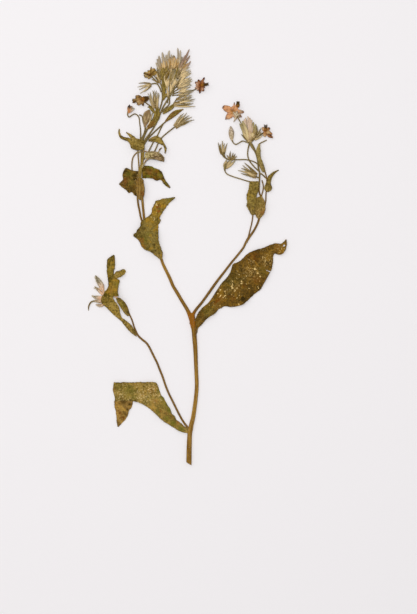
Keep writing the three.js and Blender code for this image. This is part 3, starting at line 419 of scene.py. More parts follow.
STEM_RIBS = 9
main_solid = Solid("main_stem")
STEM_ROUTES = [
    # the stem up to the fork
    [[0.9, -145, 3.4], [0.95, -138], [1.1, -130, 3.3], [1.6, -120, 3.0], [2.5, -115, 2.9], [3.7, -110, 2.8],
     [5.2, -100, 2.6], [6.2, -90, 2.5], [6.25, -85], [6, -80], [5.6, -70, 2.6], [5.3, -63, 2.8],
     [4.7, -55, 3.0], [4.3, -50, 3.1], [3.4, -45, 3.6], [2.8, -38.3, 3.3]],
    # the left branch, and the two parallel stems it goes on as
    [[3.4, -46, 2.6], [0.9, -38.5, 2.4], [-0.9, -35, 2.3], [-4, -30, 2.2], [-6.9, -25], [-9.9, -20, 2.1],
     [-12, -15], [-14.4, -10, 2.0], [-16.8, -5, 1.9], [-18.6, 0, 1.8], [-23, 9], [-27.5, 17], [-30.6, 24]],
    [[-29.2, 20.5, 1.5], [-31.7, 26, 1.3], [-32.5, 30], [-33.5, 35], [-34.1, 40, 1.2], [-33.8, 50, 1.0],
     [-33.2, 56, 0.9], [-33.1, 60], [-33.3, 64], [-33.7, 69], [-33.8, 77]],
    [[-28.2, 18, 1.6], [-29.7, 26.5], [-30, 30], [-30.5, 35], [-30.9, 40], [-31.8, 48], [-32.4, 54, 1.9],
     [-32, 58.6, 2.1], [-31.2, 63, 1.9], [-30.8, 68, 2.3], [-30.6, 77, 2.2]],
    # the thin stem that loops out to the left
    [[-33.4, 49, 0.9], [-36.8, 54.5], [-37.9, 60], [-37.5, 66.5], [-36.3, 69], [-33.6, 71.6]],
    # the right branch, and the thin stems beside it
    [[2.4, -46, 2.4], [4.3, -38.5, 1.9], [10, -31, 1.7], [15, -24], [20, -17], [25, -10.5, 1.5],
     [30, -4, 1.4], [35, 2], [38, 6], [40, 10], [41.6, 12.6, 1.6], [45.4, 18, 1.4], [48.4, 24.5],
     [49.7, 32], [50.1, 40, 1.2], [48.9, 44, 1.0], [48.7, 49.4, 1.1]],
    [[40.4, 9.5, 1.0], [42.6, 18, 0.9], [44, 24], [44.9, 32]],
    [[50, 37.5, 0.9], [50.6, 42, 0.85], [51.4, 45], [51.6, 48.5], [50.7, 52, 0.8]],
    [[48.9, 27.5, 0.9], [52, 33], [53.2, 37], [53.5, 43], [54, 48], [53.8, 54], [53, 57], [52.3, 60],
     [51.6, 62, 0.8]],
    [[51.8, 55, 0.7], [52.4, 54.4, 0.8], [53.2, 53.8], [53.9, 53, 0.7]],
    # the low side branch
    [[1.8, -120.5, 1.6], [-0.3, -116.2, 1.5], [-2.5, -113.2, 1.4], [-5, -109], [-10, -99], [-12.5, -94],
     [-15, -88], [-17, -82], [-19, -77], [-21, -72], [-22.5, -69], [-24, -66], [-26, -62], [-28, -59],
     [-31, -56.5], [-33.6, -54, 1.3], [-36, -49, 1.1], [-38, -43, 1.0], [-40, -38.5], [-41.5, -34],
     [-44, -30.5], [-47.4, -28.4, 0.9]],
]
# how brown and thin-skinned each of them has dried, from straw 0 to dark 1
STEM_DARKNESS = [0.1, 0.05, 0.75, 0.3, 0.7, 0.75, 0.7, 0.75, 0.8, 0.9, 0.8]
FORK = (3, -43)
AXILS = [(2.8, -40, 9), (1.2, -117.5, 5), (-29.5, 22, 5), (41, 11, 4), (49, 50, 4)]  # x, y, reach
AXIL_SWELL = 0.1
THICK_STEM = 2.5  # stems wider than this at their base are pressed flatter
CUT_POINT = (1.0, -141.2)
CUT_NORMAL = (-0.5, -0.85, 0)

stem_skin, shade = new_material("dry_stem")
tint = shade.attribute("tint")
place = shade.place()
streaks = shade.streaks((3.4, 3.4, 0.09))
blotches = shade.mottle(place, 7)
fine = shade.mottle(place, 0.6)
straw = streaks.between(0.4, 0.62).mix(tone("7f5a20"), tone("b68d40"))
brown = streaks.between(0.4, 0.62).mix(tone("4c3512"), tone("896733"))
bark = tint.mix(straw, brown)
bark = (blotches.between(0.5, 0.72) * 0.6).mix(bark, tone("6b4b1c"))
young = place.part("Y").between(30, 56)
bark = (young * (1.1 - tint)).mix(bark, streaks.between(0.42, 0.58).mix(tone("664f1c"), tone("b29a4e")))
from_fork = shade.node("VectorMath", {"operation": "DISTANCE"}, {0: place, 1: (*FORK, 0.8)}, "Value")
bark = ((1 - from_fork.between(12, 56)) * 0.45).mix(bark, tone("6a4a18"))
shaded = shade.streaks((0.9, 0.9, 0.02), 2)
bark = (shaded.between(0.5, 0.62) * 0.3).mix(bark, tone("70501e"))
bark = ((1 - from_fork.between(3, 8)) * (0.4 + 0.5 * streaks.between(0.35, 0.55))).mix(bark, tone("985c12"))
bark = (fine.between(0.58, 0.72) * 0.35).mix(bark, tone("4a3512"))
finish_material(stem_skin, bark, 0.62 + 0.2 * streaks, streaks * 0.7 + fine * 0.3, 0.16, 0.05)

stem_limbs = []
stems = Bundle()
for route, dark in zip(STEM_ROUTES, STEM_DARKNESS):
    limb = Limb(route, main_solid, 0.62 if route[0][2] > THICK_STEM else 0.75, 0.7)
    for x, y, reach in AXILS:  # the stem is a little swollen where a branch leaves it
        near = np.exp(-(np.hypot(limb.centre[:, 0] - x, limb.centre[:, 1] - y) / (0.5 * reach)) ** 2)
        limb.width = limb.width * (1 + AXIL_SWELL * near)
    stem_limbs.append(limb)
    stems.add_limb(limb, 24 if limb.width.max() > 1.7 else 14, dark, ribs=STEM_RIBS, rib=0.07)
stems.build("stems", stem_skin, "stem", "main_stem")
bpy.ops.object.mode_set(mode="EDIT")
bpy.ops.mesh.select_all(action="SELECT")
bpy.ops.mesh.bisect(plane_co=(CUT_POINT[0] * MM, CUT_POINT[1] * MM, 0), plane_no=CUT_NORMAL, use_fill=True,
                    clear_outer=True)
bpy.ops.object.mode_set(mode="OBJECT")


def bristle_material(name, dark, light, tip, roughness, gloss):
    """The skin of bristles, each between dark and light by chance, and paler at its tip"""
    material, shade = new_material(name)
    hue = shade.attribute("tint").mix(tone(dark), tone(light))
    return finish_material(material, shade.attribute("along").mix(hue, tone(tip)), roughness, gloss=gloss)


bristle_skin = bristle_material("bristle", "cfc4a6", "efe9dc", "f4f0e8", 0.5, 0.3)
draw = random.Random(11)
stem_bristles = Bundle()
for limb in stem_limbs:
    stem_bristles.bristle_limb(limb, 2.2, 0.9, draw, 0.04)
stem_bristles.build("stem_bristles", bristle_skin, "stem", "main_stem", smooth=False)


# -------------------------------------------------------------------------------------- the leaves
# Broad bristly leaves with a strong midrib and netted side veins. Dried, they are thin as card,
# crinkled between the veins and rolled a little at their margins; rust and pale flecks spot them.
LEAF_SOLID = 0.66  # thickness of a leaf's solid
LEAF_THIN = 0.24
LEAF_CELL = 0.42
LEAF_FOOT = 3.5  # length over which the base of a leaf comes down to its stem
LEAF_EASING = 26  # rounds of smoothing of a leaf's heights
LEAF_SPOTS = ("rust", "dusk", "pale", "gold", "green", "lace")  # each as (x, y, reach, amount)
VEIN_SLANT = 0.16  # how far the side veins run forward, as a share of the leaf
VEIN_WIDTH = 0.34
VEIN_HEIGHT = 0.08
MIDRIB_HEIGHT = 0.22
MARGIN_BRISTLES = 1.3  # for each millimetre
BLADE_BRISTLES = 0.5  # for each square millimetre
LEAF_BRISTLE = 0.9


def noise_at(places, size, seed):
    """Smooth noise from -1 to 1 at each of the places, with blotches of about that size"""
    values = [noise.noise(Vector((x / size + seed, y / size - seed, seed * 0.7)))
              for x, y in places.reshape(-1, 2)]
    return np.array(values).reshape(places.shape[:-1])


def spotted(places, spots):
    """How strongly each place is marked by the spots (x, y, reach, amount), the strongest counting"""
    marks = np.zeros(places.shape[:-1])
    for x, y, reach, amount in spots:
        far = np.hypot(places[..., 0] - x, places[..., 1] - y)
        marks = np.maximum(marks, amount * np.exp(-(far / reach) ** 2))
    return marks


def leaf_material(name, dark, light, gold, rust, rusting, fleck="e2c27c", flecking=0.0, margin="46330f"):
    """The skin of a dried leaf: dark and light in clouds, with golden, green, rust and scorched patches,
    thin dark nerves, pale flecks, fibres along its stalk, dark dusk spots, some of which are painted
    shadow along the fold of the foot leaf, and painted shadow in patches along its margin"""
    material, shade = new_material(name)
    place = shade.place()
    clouds = shade.mottle(place, 6, 5)
    fine = shade.mottle(place, 1.1, 5)
    patches = shade.mottle(place, 1.7, 4)
    flat = {"voronoi_dimensions": "2D"}
    skin = (clouds * 0.4 + fine * 0.6).between(0.42, 0.59).mix(tone(dark), tone(light))
    golden = shade.mottle(place, 2.4, 4).between(0.5, 0.64) * 0.65 + shade.attribute("gold") * (0.3 + fine)
    skin = golden.between(0, 1).mix(skin, tone(gold))
    skin = (shade.attribute("green") * (0.3 + fine)).mix(skin, tone("6f6c24"))
    rusty = shade.mottle(place, 8, 4).between(0.52, 0.68) * rusting + shade.attribute("rust") * (0.4 + fine)
    skin = (rusty.between(0.1, 0.8) * (0.4 + 0.6 * patches.between(0.42, 0.58))).mix(skin, tone(rust))
    skin = ((1 - patches).between(0.54, 0.68) * 0.5).mix(skin, tone(margin))
    net = shade.node("TexVoronoi", {**flat, "feature": "DISTANCE_TO_EDGE"}, {"Vector": place, "Scale": 0.6})
    skin = ((1 - net.between(0.01, 0.12)) * 0.35).mix(skin, tone(margin))
    vein = shade.attribute("vein")
    skin = (vein * 0.18).mix(skin, tone("b29650"))
    fibres = shade.streaks((2.2, 0.1, 1))
    stalk = shade.attribute("stalk")
    skin = (stalk * fibres.between(0.5, 0.6) * 0.6).mix(skin, tone("b0925a"))
    skin = (stalk * (1 - fibres.between(0.38, 0.5)) * 0.6).mix(skin, tone(margin))
    # dusk: the listed dark spots, mostly dark patches of the leaf; on the foot leaf two are painted shadow
    # along its fold
    skin = (shade.attribute("dusk") * (0.5 + fine)).mix(skin, tone(margin))
    wave = shade.node("TexNoise", {}, {"Vector": place, "Scale": 0.8, "Detail": 2}, "Color")
    bent = shade.node("VectorMath", {"operation": "MULTIPLY_ADD"}, {0: wave, 1: (3.4, 3.4, 0), 2: place})
    dots = {**flat, "feature": "F1"}, {"Vector": bent, "Scale": 0.62}
    chance = shade.node("TexVoronoi", *dots, 1).part("X")
    size = chance * chance * 0.54 - 0.03
    from_dot = shade.node("TexVoronoi", *dots) + 0.5 * fine - 0.25
    pale = shade.attribute("pale") + shade.mottle(place, 9, 2).between(0.5, 0.62) * flecking
    pale = pale * shade.attribute("edge").between(0.1, 1)
    flecks = (size - 0.27 * (1 - pale) - from_dot).between(0, 0.12) * pale.between(0, 0.2)
    skin = flecks.mix(skin, tone(fleck))
    lace = {**flat, "feature": "DISTANCE_TO_EDGE"}, {"Vector": bent, "Scale": 0.55}
    thread = (1 - shade.node("TexVoronoi", *lace).between(0.03, 0.16)) * fine.between(0.42, 0.56)
    skin = (thread * shade.attribute("lace") * 0.8).mix(skin, tone(fleck))
    # painted shadow: each leaf darkened in patches along its edge
    rim = (1 - shade.attribute("edge").between(0, 0.6)) * shade.mottle(place, 4, 3).between(0.42, 0.56)
    skin = (rim * (0.3 + 0.7 * fine)).mix(skin, tone(margin))
    relief = net.between(0, 0.25) * 0.4 + fine * 0.5 + vein * 0.3
    return finish_material(material, skin, 0.7 + 0.2 * fine, relief, 0.22, 0.02)


leaf_bristles = Bundle()
leaf_draw = random.Random(23)


def tear_holes(mesh, holes):
    """Takes out the faces in each hole (x, y, turn, half length, half width)"""
    editing = bmesh.new()
    editing.from_mesh(mesh)
    gone = []
    for face in editing.faces:
        x, y = np.array(face.calc_center_median()[:2]) / MM
        for hole_x, hole_y, turn, long, wide in holes:
            along = (x - hole_x) * math.cos(turn) + (y - hole_y) * math.sin(turn)
            aside = (y - hole_y) * math.cos(turn) - (x - hole_x) * math.sin(turn)
            if (along / long) ** 2 + (aside / wide) ** 2 < 1:
                gone.append(face)
                break
    bmesh.ops.delete(editing, geom=gone, context="FACES")
    editing.to_mesh(mesh)
    editing.free()


def make_card(piece, thickness):
    """Gives a sheet its thickness, half to each side"""
    card = piece.modifiers.new("card", "SOLIDIFY")
    card.thickness = thickness * MM
    card.offset = 0
    bpy.ops.object.modifier_apply(modifier=card.name)
    bpy.ops.object.shade_smooth()


def bristle_leaf(place, z, half, middle):
    """Bristles along both margins of a leaf and over its upper side"""
    for column in (0, -1):
        edge = place[:, column]
        for _ in range(int(path_length(edge) * MARGIN_BRISTLES)):
            i = leaf_draw.randrange(2, len(edge) - 1)
            out, along = unit(edge[i] - middle[i]), unit(middle[i] - middle[i - 1])
            way = np.array([*(out + along * leaf_draw.uniform(-0.1, 0.9)), leaf_draw.uniform(-0.1, 0.6)])
            leaf_bristles.add_bristle(np.array([*edge[i], z[i, column]]), unit(way),
                                      LEAF_BRISTLE * leaf_draw.uniform(0.5, 1.1), 0.04, leaf_draw.random())
    rows, columns = z.shape
    for _ in range(int(2 * half.mean() * path_length(middle) * BLADE_BRISTLES)):
        i, j = leaf_draw.randrange(1, rows - 1), leaf_draw.randrange(1, columns - 1)
        root = np.array([*place[i, j], z[i, j] + LEAF_THIN / 2 - 0.03])
        way = np.array([leaf_draw.uniform(-1, 1), leaf_draw.uniform(-1, 1), leaf_draw.uniform(0.3, 1)])
        leaf_bristles.add_bristle(root, unit(way), LEAF_BRISTLE * leaf_draw.uniform(0.4, 0.9), 0.045,
                                  leaf_draw.random())


def add_leaf(name, node, material, left, right, pairs, seed, rib=None, crinkle=0.16, ragged=0.24,
             sink=0.0, drop=0.0, striped=0.0, holes=(), **spots):
    """A leaf from its base to its tip between its left and its right edge. pairs is for its side
    veins; crinkle, ragged, sink and drop, of its base, are in millimetres; striped is how much it
    looks like its stalk all over."""
    rows = max(len(smooth_line(edge, step=LEAF_CELL)) for edge in (left, right)) - 1
    lefts, rights = smooth_line(left, rows + 1), smooth_line(right, rows + 1)
    middle = smooth_line(rib, rows + 1) if rib else (lefts + rights) / 2
    widest = np.linalg.norm(lefts - rights, axis=1).max()
    columns = 2 * max(3, round(widest / LEAF_CELL / 2))
    s = np.linspace(0, 1, rows + 1)[:, None]  # from base to tip
    t = np.linspace(-1, 1, columns + 1)[None]  # from the left edge to the right one
    edges = np.where((t < 0)[..., None], lefts[:, None], rights[:, None])
    half = np.linalg.norm(edges - middle[:, None], axis=2)
    length = path_length(middle)
    run = np.column_stack([s[:, 0] * length, s[:, 0] * 0])
    torn = [ragged * (noise_at(run, 1.7, seed + k) + 0.6 * noise_at(run, 0.7, seed + k)) for k in (0, 5)]
    torn = np.where(t < 0, torn[0][:, None], torn[1][:, None])
    stretch = 1 + np.abs(t) ** 4 * torn / np.maximum(half, 1.5)
    place = middle[:, None] + (np.abs(t) * stretch)[..., None] * (edges - middle[:, None])

    z = Solid(node).heights(place) - LEAF_SOLID / 2
    for _ in range(LEAF_EASING):
        z = eased(z)
        z = eased(z.T.copy()).T.copy()
    away = np.abs(t) * half  # from the midrib
    side = np.where(t < 0, 0.0, 0.5)  # the veins of the two sides take turns
    turn = ((s - VEIN_SLANT * np.abs(t) ** 1.3) * pairs + side) % 1 - 0.5
    from_vein = np.abs(turn) / pairs * length
    side_vein = np.exp(-(from_vein / VEIN_WIDTH) ** 2) * (1 - 0.8 * np.abs(t)) * np.minimum(1, half / 2.5)
    midrib = np.exp(-(away / (0.25 + 0.5 * (1 - s))) ** 2)
    pucker = 1 - np.exp(-(from_vein / 1.1) ** 2)
    bumps = 0.5 * pucker + 0.6 * noise_at(place, 1.5, seed + 3) + 0.9 * noise_at(place, 4.5, seed + 9)
    z = z + crinkle * bumps + MIDRIB_HEIGHT * midrib + VEIN_HEIGHT * side_vein
    z = z - sink - drop * np.exp(-(s * length / LEAF_FOOT) ** 2)
    z = np.maximum(z, LEAF_THIN / 2 + LEAST_LEVEL)

    bpy.ops.mesh.primitive_grid_add(x_subdivisions=columns, y_subdivisions=rows, size=1)
    piece = bpy.context.object
    piece.name = piece.data.name = name
    points = np.dstack([place, z]).reshape(-1, 3) * MM
    piece.data.vertices.foreach_set("co", points.astype(np.float32).ravel())
    add_layer(piece.data, "vein", np.maximum(midrib, side_vein * 0.75))
    add_layer(piece.data, "edge", (1 - np.abs(t)) * half)
    stalk = np.clip((4.2 - half) / 2, 0, 1) * np.clip((0.45 - s) / 0.3, 0, 1)
    add_layer(piece.data, "stalk", np.maximum(stalk, striped))
    for label in LEAF_SPOTS:
        add_layer(piece.data, label, spotted(place, spots.get(label, ())))
    add_layer(piece.data, "grain", np.dstack([t * half, s * length + t * 0, z * 0]))
    if holes:
        tear_holes(piece.data, holes)
    piece.data.materials.append(material)
    make_card(piece, LEAF_THIN)
    settle(piece, node)
    bristle_leaf(place, z, half, middle)


# the largest leaf, at the fork: dark olive-brown with many pale flecks
fork_skin = leaf_material("fork_leaf_skin", "543f18", "7a5a20", "8f691e", "75440f", 0.45, "ecca84", 0.1,
                          "382a0e")
add_leaf(
    "fork_leaf", "leaf_fork", fork_skin,
    left=[[3.6, -44.5], [5.6, -42], [7, -39], [10, -35], [12.5, -33], [15, -30.5], [18, -26], [20, -23],
          [23, -18.5], [27, -14], [28.5, -12], [30, -8], [31.2, -5], [35, -3.5], [38, -1], [41, 2], [45, 4],
          [49, 5.2], [52, 6], [55.5, 7.7], [60, 9], [64, 8.8], [66, 10.5], [67.2, 11.9]],
    right=[[3.9, -55], [6.4, -52.5], [7, -49.5], [8, -48], [10, -46], [12.5, -43], [15, -41], [19, -38.5],
           [21, -36], [23, -35], [25.5, -34], [30, -34.5], [33, -34], [37, -33], [40.5, -30.5], [44, -27],
           [50, -22], [52, -18.5], [55, -13], [57, -9.5], [58.3, -4], [58.4, 0], [59.5, 2], [61, 1.5],
           [64, 1.5], [66.5, 4], [67.5, 7], [67.5, 11.3]],
    rib=[[3.9, -49], [10, -42.5], [18, -34.5], [26, -26.5], [34, -19], [42, -11.5], [50, -3], [56, 2.8],
         [61, 6.2], [67.3, 11.6]],
    pairs=9, seed=4, crinkle=0.2,
    holes=[(65.8, 7.5, 0.3, 0.75, 0.65), (55.2, -9.9, -0.45, 2.0, 0.3)],
    rust=[(22, -29, 4, 0.6), (45, 0, 7, 0.5), (62, 6, 4, 0.6), (48, -16, 4, 0.5), (34, -22, 5, 0.4)],
    dusk=[(37.8, -28.7, 1.4, 1.9), (12, -42.5, 2.5, 0.5), (30, -12, 6, 0.3), (51, 3, 5, 0.3),
          (20, -38.5, 2, 0.8), (50, -21.5, 2.5, 0.7), (44, -26.5, 2.5, 0.5), (27, -35, 2, 0.5)],
    gold=[(55, 1, 3.5, 0.8), (64, 5, 3, 1.2), (23, -26, 3, 0.8), (45.5, -7, 3, 0.6), (18, -34, 3, 0.4)],
    green=[(52, -10, 3.5, 0.25), (30, -16, 6, 0.3), (14, -38, 4, 0.4)],
    pale=[(36.5, -17, 4, 0.75), (46, -15.5, 5, 0.8), (44.5, -8, 5, 0.7), (55.5, 1, 5, 0.9),
          (51, -5, 4, 0.6), (35, -30, 4, 1), (24.5, -25, 5, 0.7), (21, -32.5, 4, 0.55), (63, 6, 3, 0.7),
          (40, -11, 5, 0.6), (30, -22, 8, 0.5), (16, -37, 3, 0.7)],
    lace=[(64, 5.4, 3, 0.8), (55, -2, 4, 0.6), (43, -10, 5, 0.5), (30, -20, 4, 0.3)])

# the folded leaf at the foot, with its tip turned down over itself
foot_skin = leaf_material("foot_leaf_skin", "76642c", "a88a44", "b08c42", "94602a", 0.35, "dcc188", 0.05,
                          "46350f")
add_leaf(
    "foot_leaf", "leaf_foot", foot_skin,
    left=[[2.2, -120.4], [-2, -120], [-5.5, -119], [-8, -117.5], [-13, -114.5], [-18, -111], [-22, -107],
          [-27, -103], [-31, -100.5], [-36, -98.7], [-42, -98.3], [-49, -98.5]],
    right=[[2.2, -117.6], [-1.6, -116.2], [-4.4, -113.6], [-7.6, -111.2], [-8.7, -108.7], [-10.7, -107],
           [-11.7, -104], [-13.7, -101], [-16.2, -96.5], [-18.2, -94], [-19.6, -89.6], [-20.8, -86.7],
           [-21.4, -85.9], [-25, -85.5], [-30, -85.5], [-40, -85.7], [-50.3, -85.7]],
    rib=[[2.2, -119], [-5, -115.2], [-10, -111], [-15, -106.5], [-22, -100.5], [-30, -96], [-40, -93],
         [-51, -91]],
    pairs=7, seed=7, crinkle=0.2, ragged=0.3,
    rust=[(-24, -91, 4, 0.5), (-22, -99, 3, 0.5), (-18.4, -104.8, 1.5, 0.6), (-14.6, -107, 1.2, 0.7),
          (-10.6, -109.8, 1.2, 0.7), (-6.4, -112.8, 1.1, 0.8), (-2.6, -115, 1, 0.8)],
    # the two dusk spots on the lower edge near y -98.5 are painted shadow along the fold; the rest are dark
    # patches
    dusk=[(-14.5, -107, 1.5, 0.4), (-11.5, -109, 1.6, 0.5), (-8.5, -111, 1.6, 0.5), (-38.5, -98.6, 1.4, 1),
          (-35.5, -98.4, 1.2, 0.8), (-49.5, -90, 1.2, 0.6), (-45, -86, 2, 0.6), (-30, -85.8, 2, 0.5)],
    gold=[(-29, -94, 5, 0.4), (-20, -92, 4, 0.4), (-24, -103, 3, 0.5)],
    green=[(-40, -92, 5, 0.7), (-46, -89, 4, 0.5), (-12, -104.5, 2.2, 1.2), (-14, -100.5, 2.4, 1.1),
           (-17, -96, 2.4, 1), (-19.6, -91.6, 2, 0.8), (-26, -97, 3.5, 0.4), (-14, -110.6, 2, 1),
           (-9.6, -113.6, 2.4, 1.2), (-4, -117.4, 2.4, 1.2), (-36, -96.5, 3, 0.7), (-20, -106, 2, 0.6)],
    pale=[(-29, -93, 7, 0.4), (-24, -88.5, 6, 0.6), (-45, -86.5, 4, 0.8), (-20, -96, 4, 0.3)],
    lace=[(-30, -95, 5, 1.1), (-25, -91, 4, 1), (-46, -95, 3.5, 1.2), (-39, -97.5, 2, 1),
          (-22, -94, 3, 0.9)])
foot_tip_skin = leaf_material("foot_leaf_tip_skin", "866630", "ae8a4a", "bc9244", "6e4212", 0.3, "e6cc96",
                              0.05)
add_leaf(
    "foot_leaf_tip", "leaf_foot", foot_tip_skin,
    left=[[-36.8, -96.5], [-37.4, -100], [-38.2, -103], [-40, -105], [-40.6, -108], [-42.2, -111],
          [-47.1, -116]],
    right=[[-49.4, -96.5], [-49.8, -100], [-49.6, -103], [-48.8, -106.5], [-48.3, -112], [-47.7, -116]],
    pairs=4, seed=9, sink=0.32,
    rust=[(-45.5, -107, 1.7, 1), (-44.5, -110, 1.6, 0.9), (-47, -105, 1.2, 0.6)],
    dusk=[(-39.5, -100.8, 1.3, 1), (-41, -104.3, 1.3, 0.9), (-42.2, -107.5, 1, 0.8),
          (-47, -114.6, 1.6, 0.5), (-43.6, -98.8, 2.4, 0.8)],
    gold=[(-47, -102.5, 2.5, 0.9), (-44, -104, 1.6, 0.8)])

# the leaf over the left branch
branch_skin = leaf_material("branch_leaf_skin", "645422", "8e793c", "a68028", "8e4c18", 0.15, "cdb070",
                            0.1, "3a2b0d")
add_leaf(
    "branch_leaf", "leaf_left_branch", branch_skin,
    left=[[-18.6, -2], [-21.3, 0], [-25, 3], [-30, 5.3], [-31.5, 7], [-33, 10.5], [-35, 12.5],
          [-36.6, 13.6], [-37.2, 14.1], [-36.6, 15.4], [-35.2, 16.2], [-34.6, 18], [-32.5, 20], [-31.8, 23],
          [-29, 26], [-26, 28], [-24.5, 30], [-24, 33], [-22.5, 36], [-21.8, 38], [-19, 38.5], [-17, 39.5],
          [-14, 39.8], [-8.6, 40.5]],
    right=[[-17.2, -2], [-17, 2.5], [-18.5, 7], [-19.5, 10], [-19.8, 15], [-19.8, 21], [-18.3, 25],
           [-19, 26], [-18, 28.5], [-16, 31.5], [-14, 34.3], [-12, 36.8], [-8.4, 40]],
    pairs=7, seed=12, ragged=0.36, drop=0.4,
    rust=[(-19.9, 34.2, 1.6, 1.3), (-19.8, 31, 1.2, 1.2), (-31.5, 11, 2.6, 0.7), (-30, 7, 2, 0.6)],
    dusk=[(-32.5, 22, 1.8, 1), (-33.8, 18, 1.5, 0.8), (-30.5, 19, 1.5, 0.6), (-36, 14.2, 1, 0.7),
          (-22.4, 8, 0.8, 0.8), (-21.8, 4, 0.8, 0.8), (-24, 2.6, 1.2, 0.5), (-26, 27.6, 1.2, 0.5)],
    gold=[(-22, 30, 4, 0.9), (-25.5, 25, 3.5, 0.8), (-18, 36, 4, 0.7), (-22, 22, 3, 0.5)],
    green=[(-28.6, 11.5, 2, 0.8), (-27, 15, 2, 0.5), (-12, 39, 2.5, 0.7)],
    pale=[(-21.2, 36, 1.8, 1), (-19.6, 29.7, 1.8, 1), (-24, 25, 5, 0.6)])

# three leaves at the stem below the left head
under_skin = leaf_material("under_leaf_skin", "3f310e", "84662c", "866222", "74461a", 0.4, margin="33260e")
add_leaf(
    "left_under_leaf", "leaf_head_left", under_skin,
    left=[[-32.8, 41.2], [-35.8, 41.7], [-38.4, 44.1], [-39.7, 43.3], [-41.3, 44.7], [-44.2, 46.8],
          [-46.7, 49.2]],
    right=[[-32.6, 58], [-35.5, 58.4], [-38.5, 59], [-41.9, 60.4], [-44.3, 55.8], [-43.6, 53.4],
           [-46.5, 49.8]],
    pairs=5, seed=15, crinkle=0.3, ragged=0.36,
    rust=[(-43, 51, 2, 0.8)],
    dusk=[(-36, 55, 1.5, 0.7), (-38, 46, 2.5, 0.6), (-42.6, 58, 1.2, 0.8), (-40.6, 54, 1, 0.6)],
    green=[(-40, 56, 2.4, 0.7), (-38.4, 50.5, 2, 0.6)])
side_skin = leaf_material("side_leaf_skin", "4a390c", "8a6a22", "8f701c", "7a4c1a", 0.4, margin="33260e")
add_leaf(
    "right_under_leaf", "leaf_head_right", side_skin,
    left=[[-31, 61.8], [-28, 62], [-25.6, 61.7], [-22.2, 60.4], [-18.1, 58.3], [-16.2, 54.6], [-14.8, 51.6],
          [-13.4, 49.8], [-11.6, 47]],
    right=[[-31, 53.2], [-28, 53.5], [-25.6, 53.5], [-23.5, 52.9], [-20.8, 51.7], [-18.4, 52.2],
           [-17.2, 50.9], [-15.4, 48.8], [-12.2, 46.6]],
    pairs=6, seed=17, ragged=0.3,
    rust=[(-26.5, 58, 2.5, 0.9), (-21, 58, 1.4, 0.5), (-22.4, 53.4, 2, 0.5)],
    dusk=[(-22, 56, 1.2, 0.5), (-17.6, 57.4, 1.2, 0.9), (-16.8, 53.4, 1.2, 0.7), (-20.4, 52.4, 1.2, 0.7)],
    gold=[(-23, 58.4, 2.4, 0.5), (-17, 55, 2, 0.4)],
    green=[(-26, 61.4, 1.8, 1.5), (-23, 60.6, 1.6, 1.5), (-27, 54.6, 1.6, 1.2), (-18.4, 55.6, 1.4, 1.2),
           (-14, 50.4, 1.6, 0.8)])
stem_leaf_skin = leaf_material("stem_leaf_skin", "5a421a", "8e6c30", "967026", "8c4e18", 0.6)
add_leaf(
    "stem_leaf", "leaf_head_stem", stem_leaf_skin,
    left=[[-32.8, 38.5], [-34.3, 41.2], [-35, 44.5], [-35.3, 48.3], [-35.1, 51.4], [-33.4, 53.2]],
    right=[[-31.5, 38.5], [-29.9, 40.5], [-29.2, 44], [-29.2, 46.6], [-29.8, 50], [-29.9, 52],
           [-31.6, 53.4]],
    pairs=5, seed=19, sink=0.5, drop=0.5, striped=0.7,
    rust=[(-31.5, 43, 2, 0.8)])

# four leaves below the right head
low_skin = leaf_material("right_leaf_skin", "6a5826", "9e8844", "a48634", "84562a", 0.2, margin="3f3010")
lobe_skin = leaf_material("right_lobe_skin", "7c6530", "b89658", "b48c40", "8e5826", 0.3)
narrow_skin = leaf_material("right_narrow_skin", "6c5c30", "a8955c", "9a8646", "84562a", 0.1,
                            margin="46381a")
add_leaf(
    "right_leaf_broad", "leaf_right_low_1", low_skin,
    left=[[43.5, 28.3], [41.5, 32], [40, 35], [40.7, 37], [40.2, 40], [40.3, 42], [41.3, 45], [42, 49],
          [42.2, 51.2]],
    right=[[46, 28.5], [46.6, 33], [46.8, 37], [47, 41], [48.3, 45], [48.5, 49], [48.2, 51.3]],
    pairs=6, seed=21, ragged=0.3, drop=0.95,
    dusk=[(41.5, 31, 1.4, 0.5), (46, 46, 1.4, 0.4)])
add_leaf(
    "right_leaf_lobe", "leaf_right_low_2", lobe_skin,
    left=[[47.6, 26], [46.2, 28.5], [46.2, 34], [46.9, 40]],
    right=[[49.5, 26], [50.6, 27.2], [52.5, 30], [53, 34], [52, 39], [50.4, 41.2]],
    pairs=4, seed=24, drop=2.1,
    rust=[(51, 30, 2.2, 0.8)],
    green=[(49, 36, 2.5, 0.4)])
add_leaf(
    "right_leaf_narrow", "leaf_right_narrow", narrow_skin,
    left=[[51.2, 57.4], [49.4, 60.3], [48, 64], [46.6, 70], [46.6, 72], [48.2, 76.6]],
    right=[[52.6, 57.4], [52.5, 60.3], [51.2, 64.5], [49.9, 68], [49.7, 72], [49.4, 76.6]],
    pairs=5, seed=27, drop=1.6)
add_leaf(
    "right_leaf_side", "leaf_right_side", low_skin,
    left=[[54.2, 44.1], [52.6, 45.3], [52.3, 47.2], [53.1, 49.2], [53.8, 51], [54.1, 53], [55, 54.8],
          [56.4, 56.2], [58.2, 57.5], [62.1, 59.2]],
    right=[[55, 44], [57, 45.1], [57.6, 47], [57, 48.8], [56.7, 50.4], [57.2, 52.8], [58.2, 54.8],
           [59.2, 56.2], [60.4, 57.3], [62.3, 58.8]],
    pairs=5, seed=29, ragged=0.16, drop=2.6,
    rust=[(54, 52.6, 0.9, 0.7)],
    dusk=[(54, 49.4, 0.7, 1), (55.2, 49.2, 0.6, 0.9), (56.6, 49, 0.8, 1), (57, 46.8, 0.8, 0.6),
          (56, 52, 1, 0.4), (59.4, 56.9, 0.9, 0.4)])

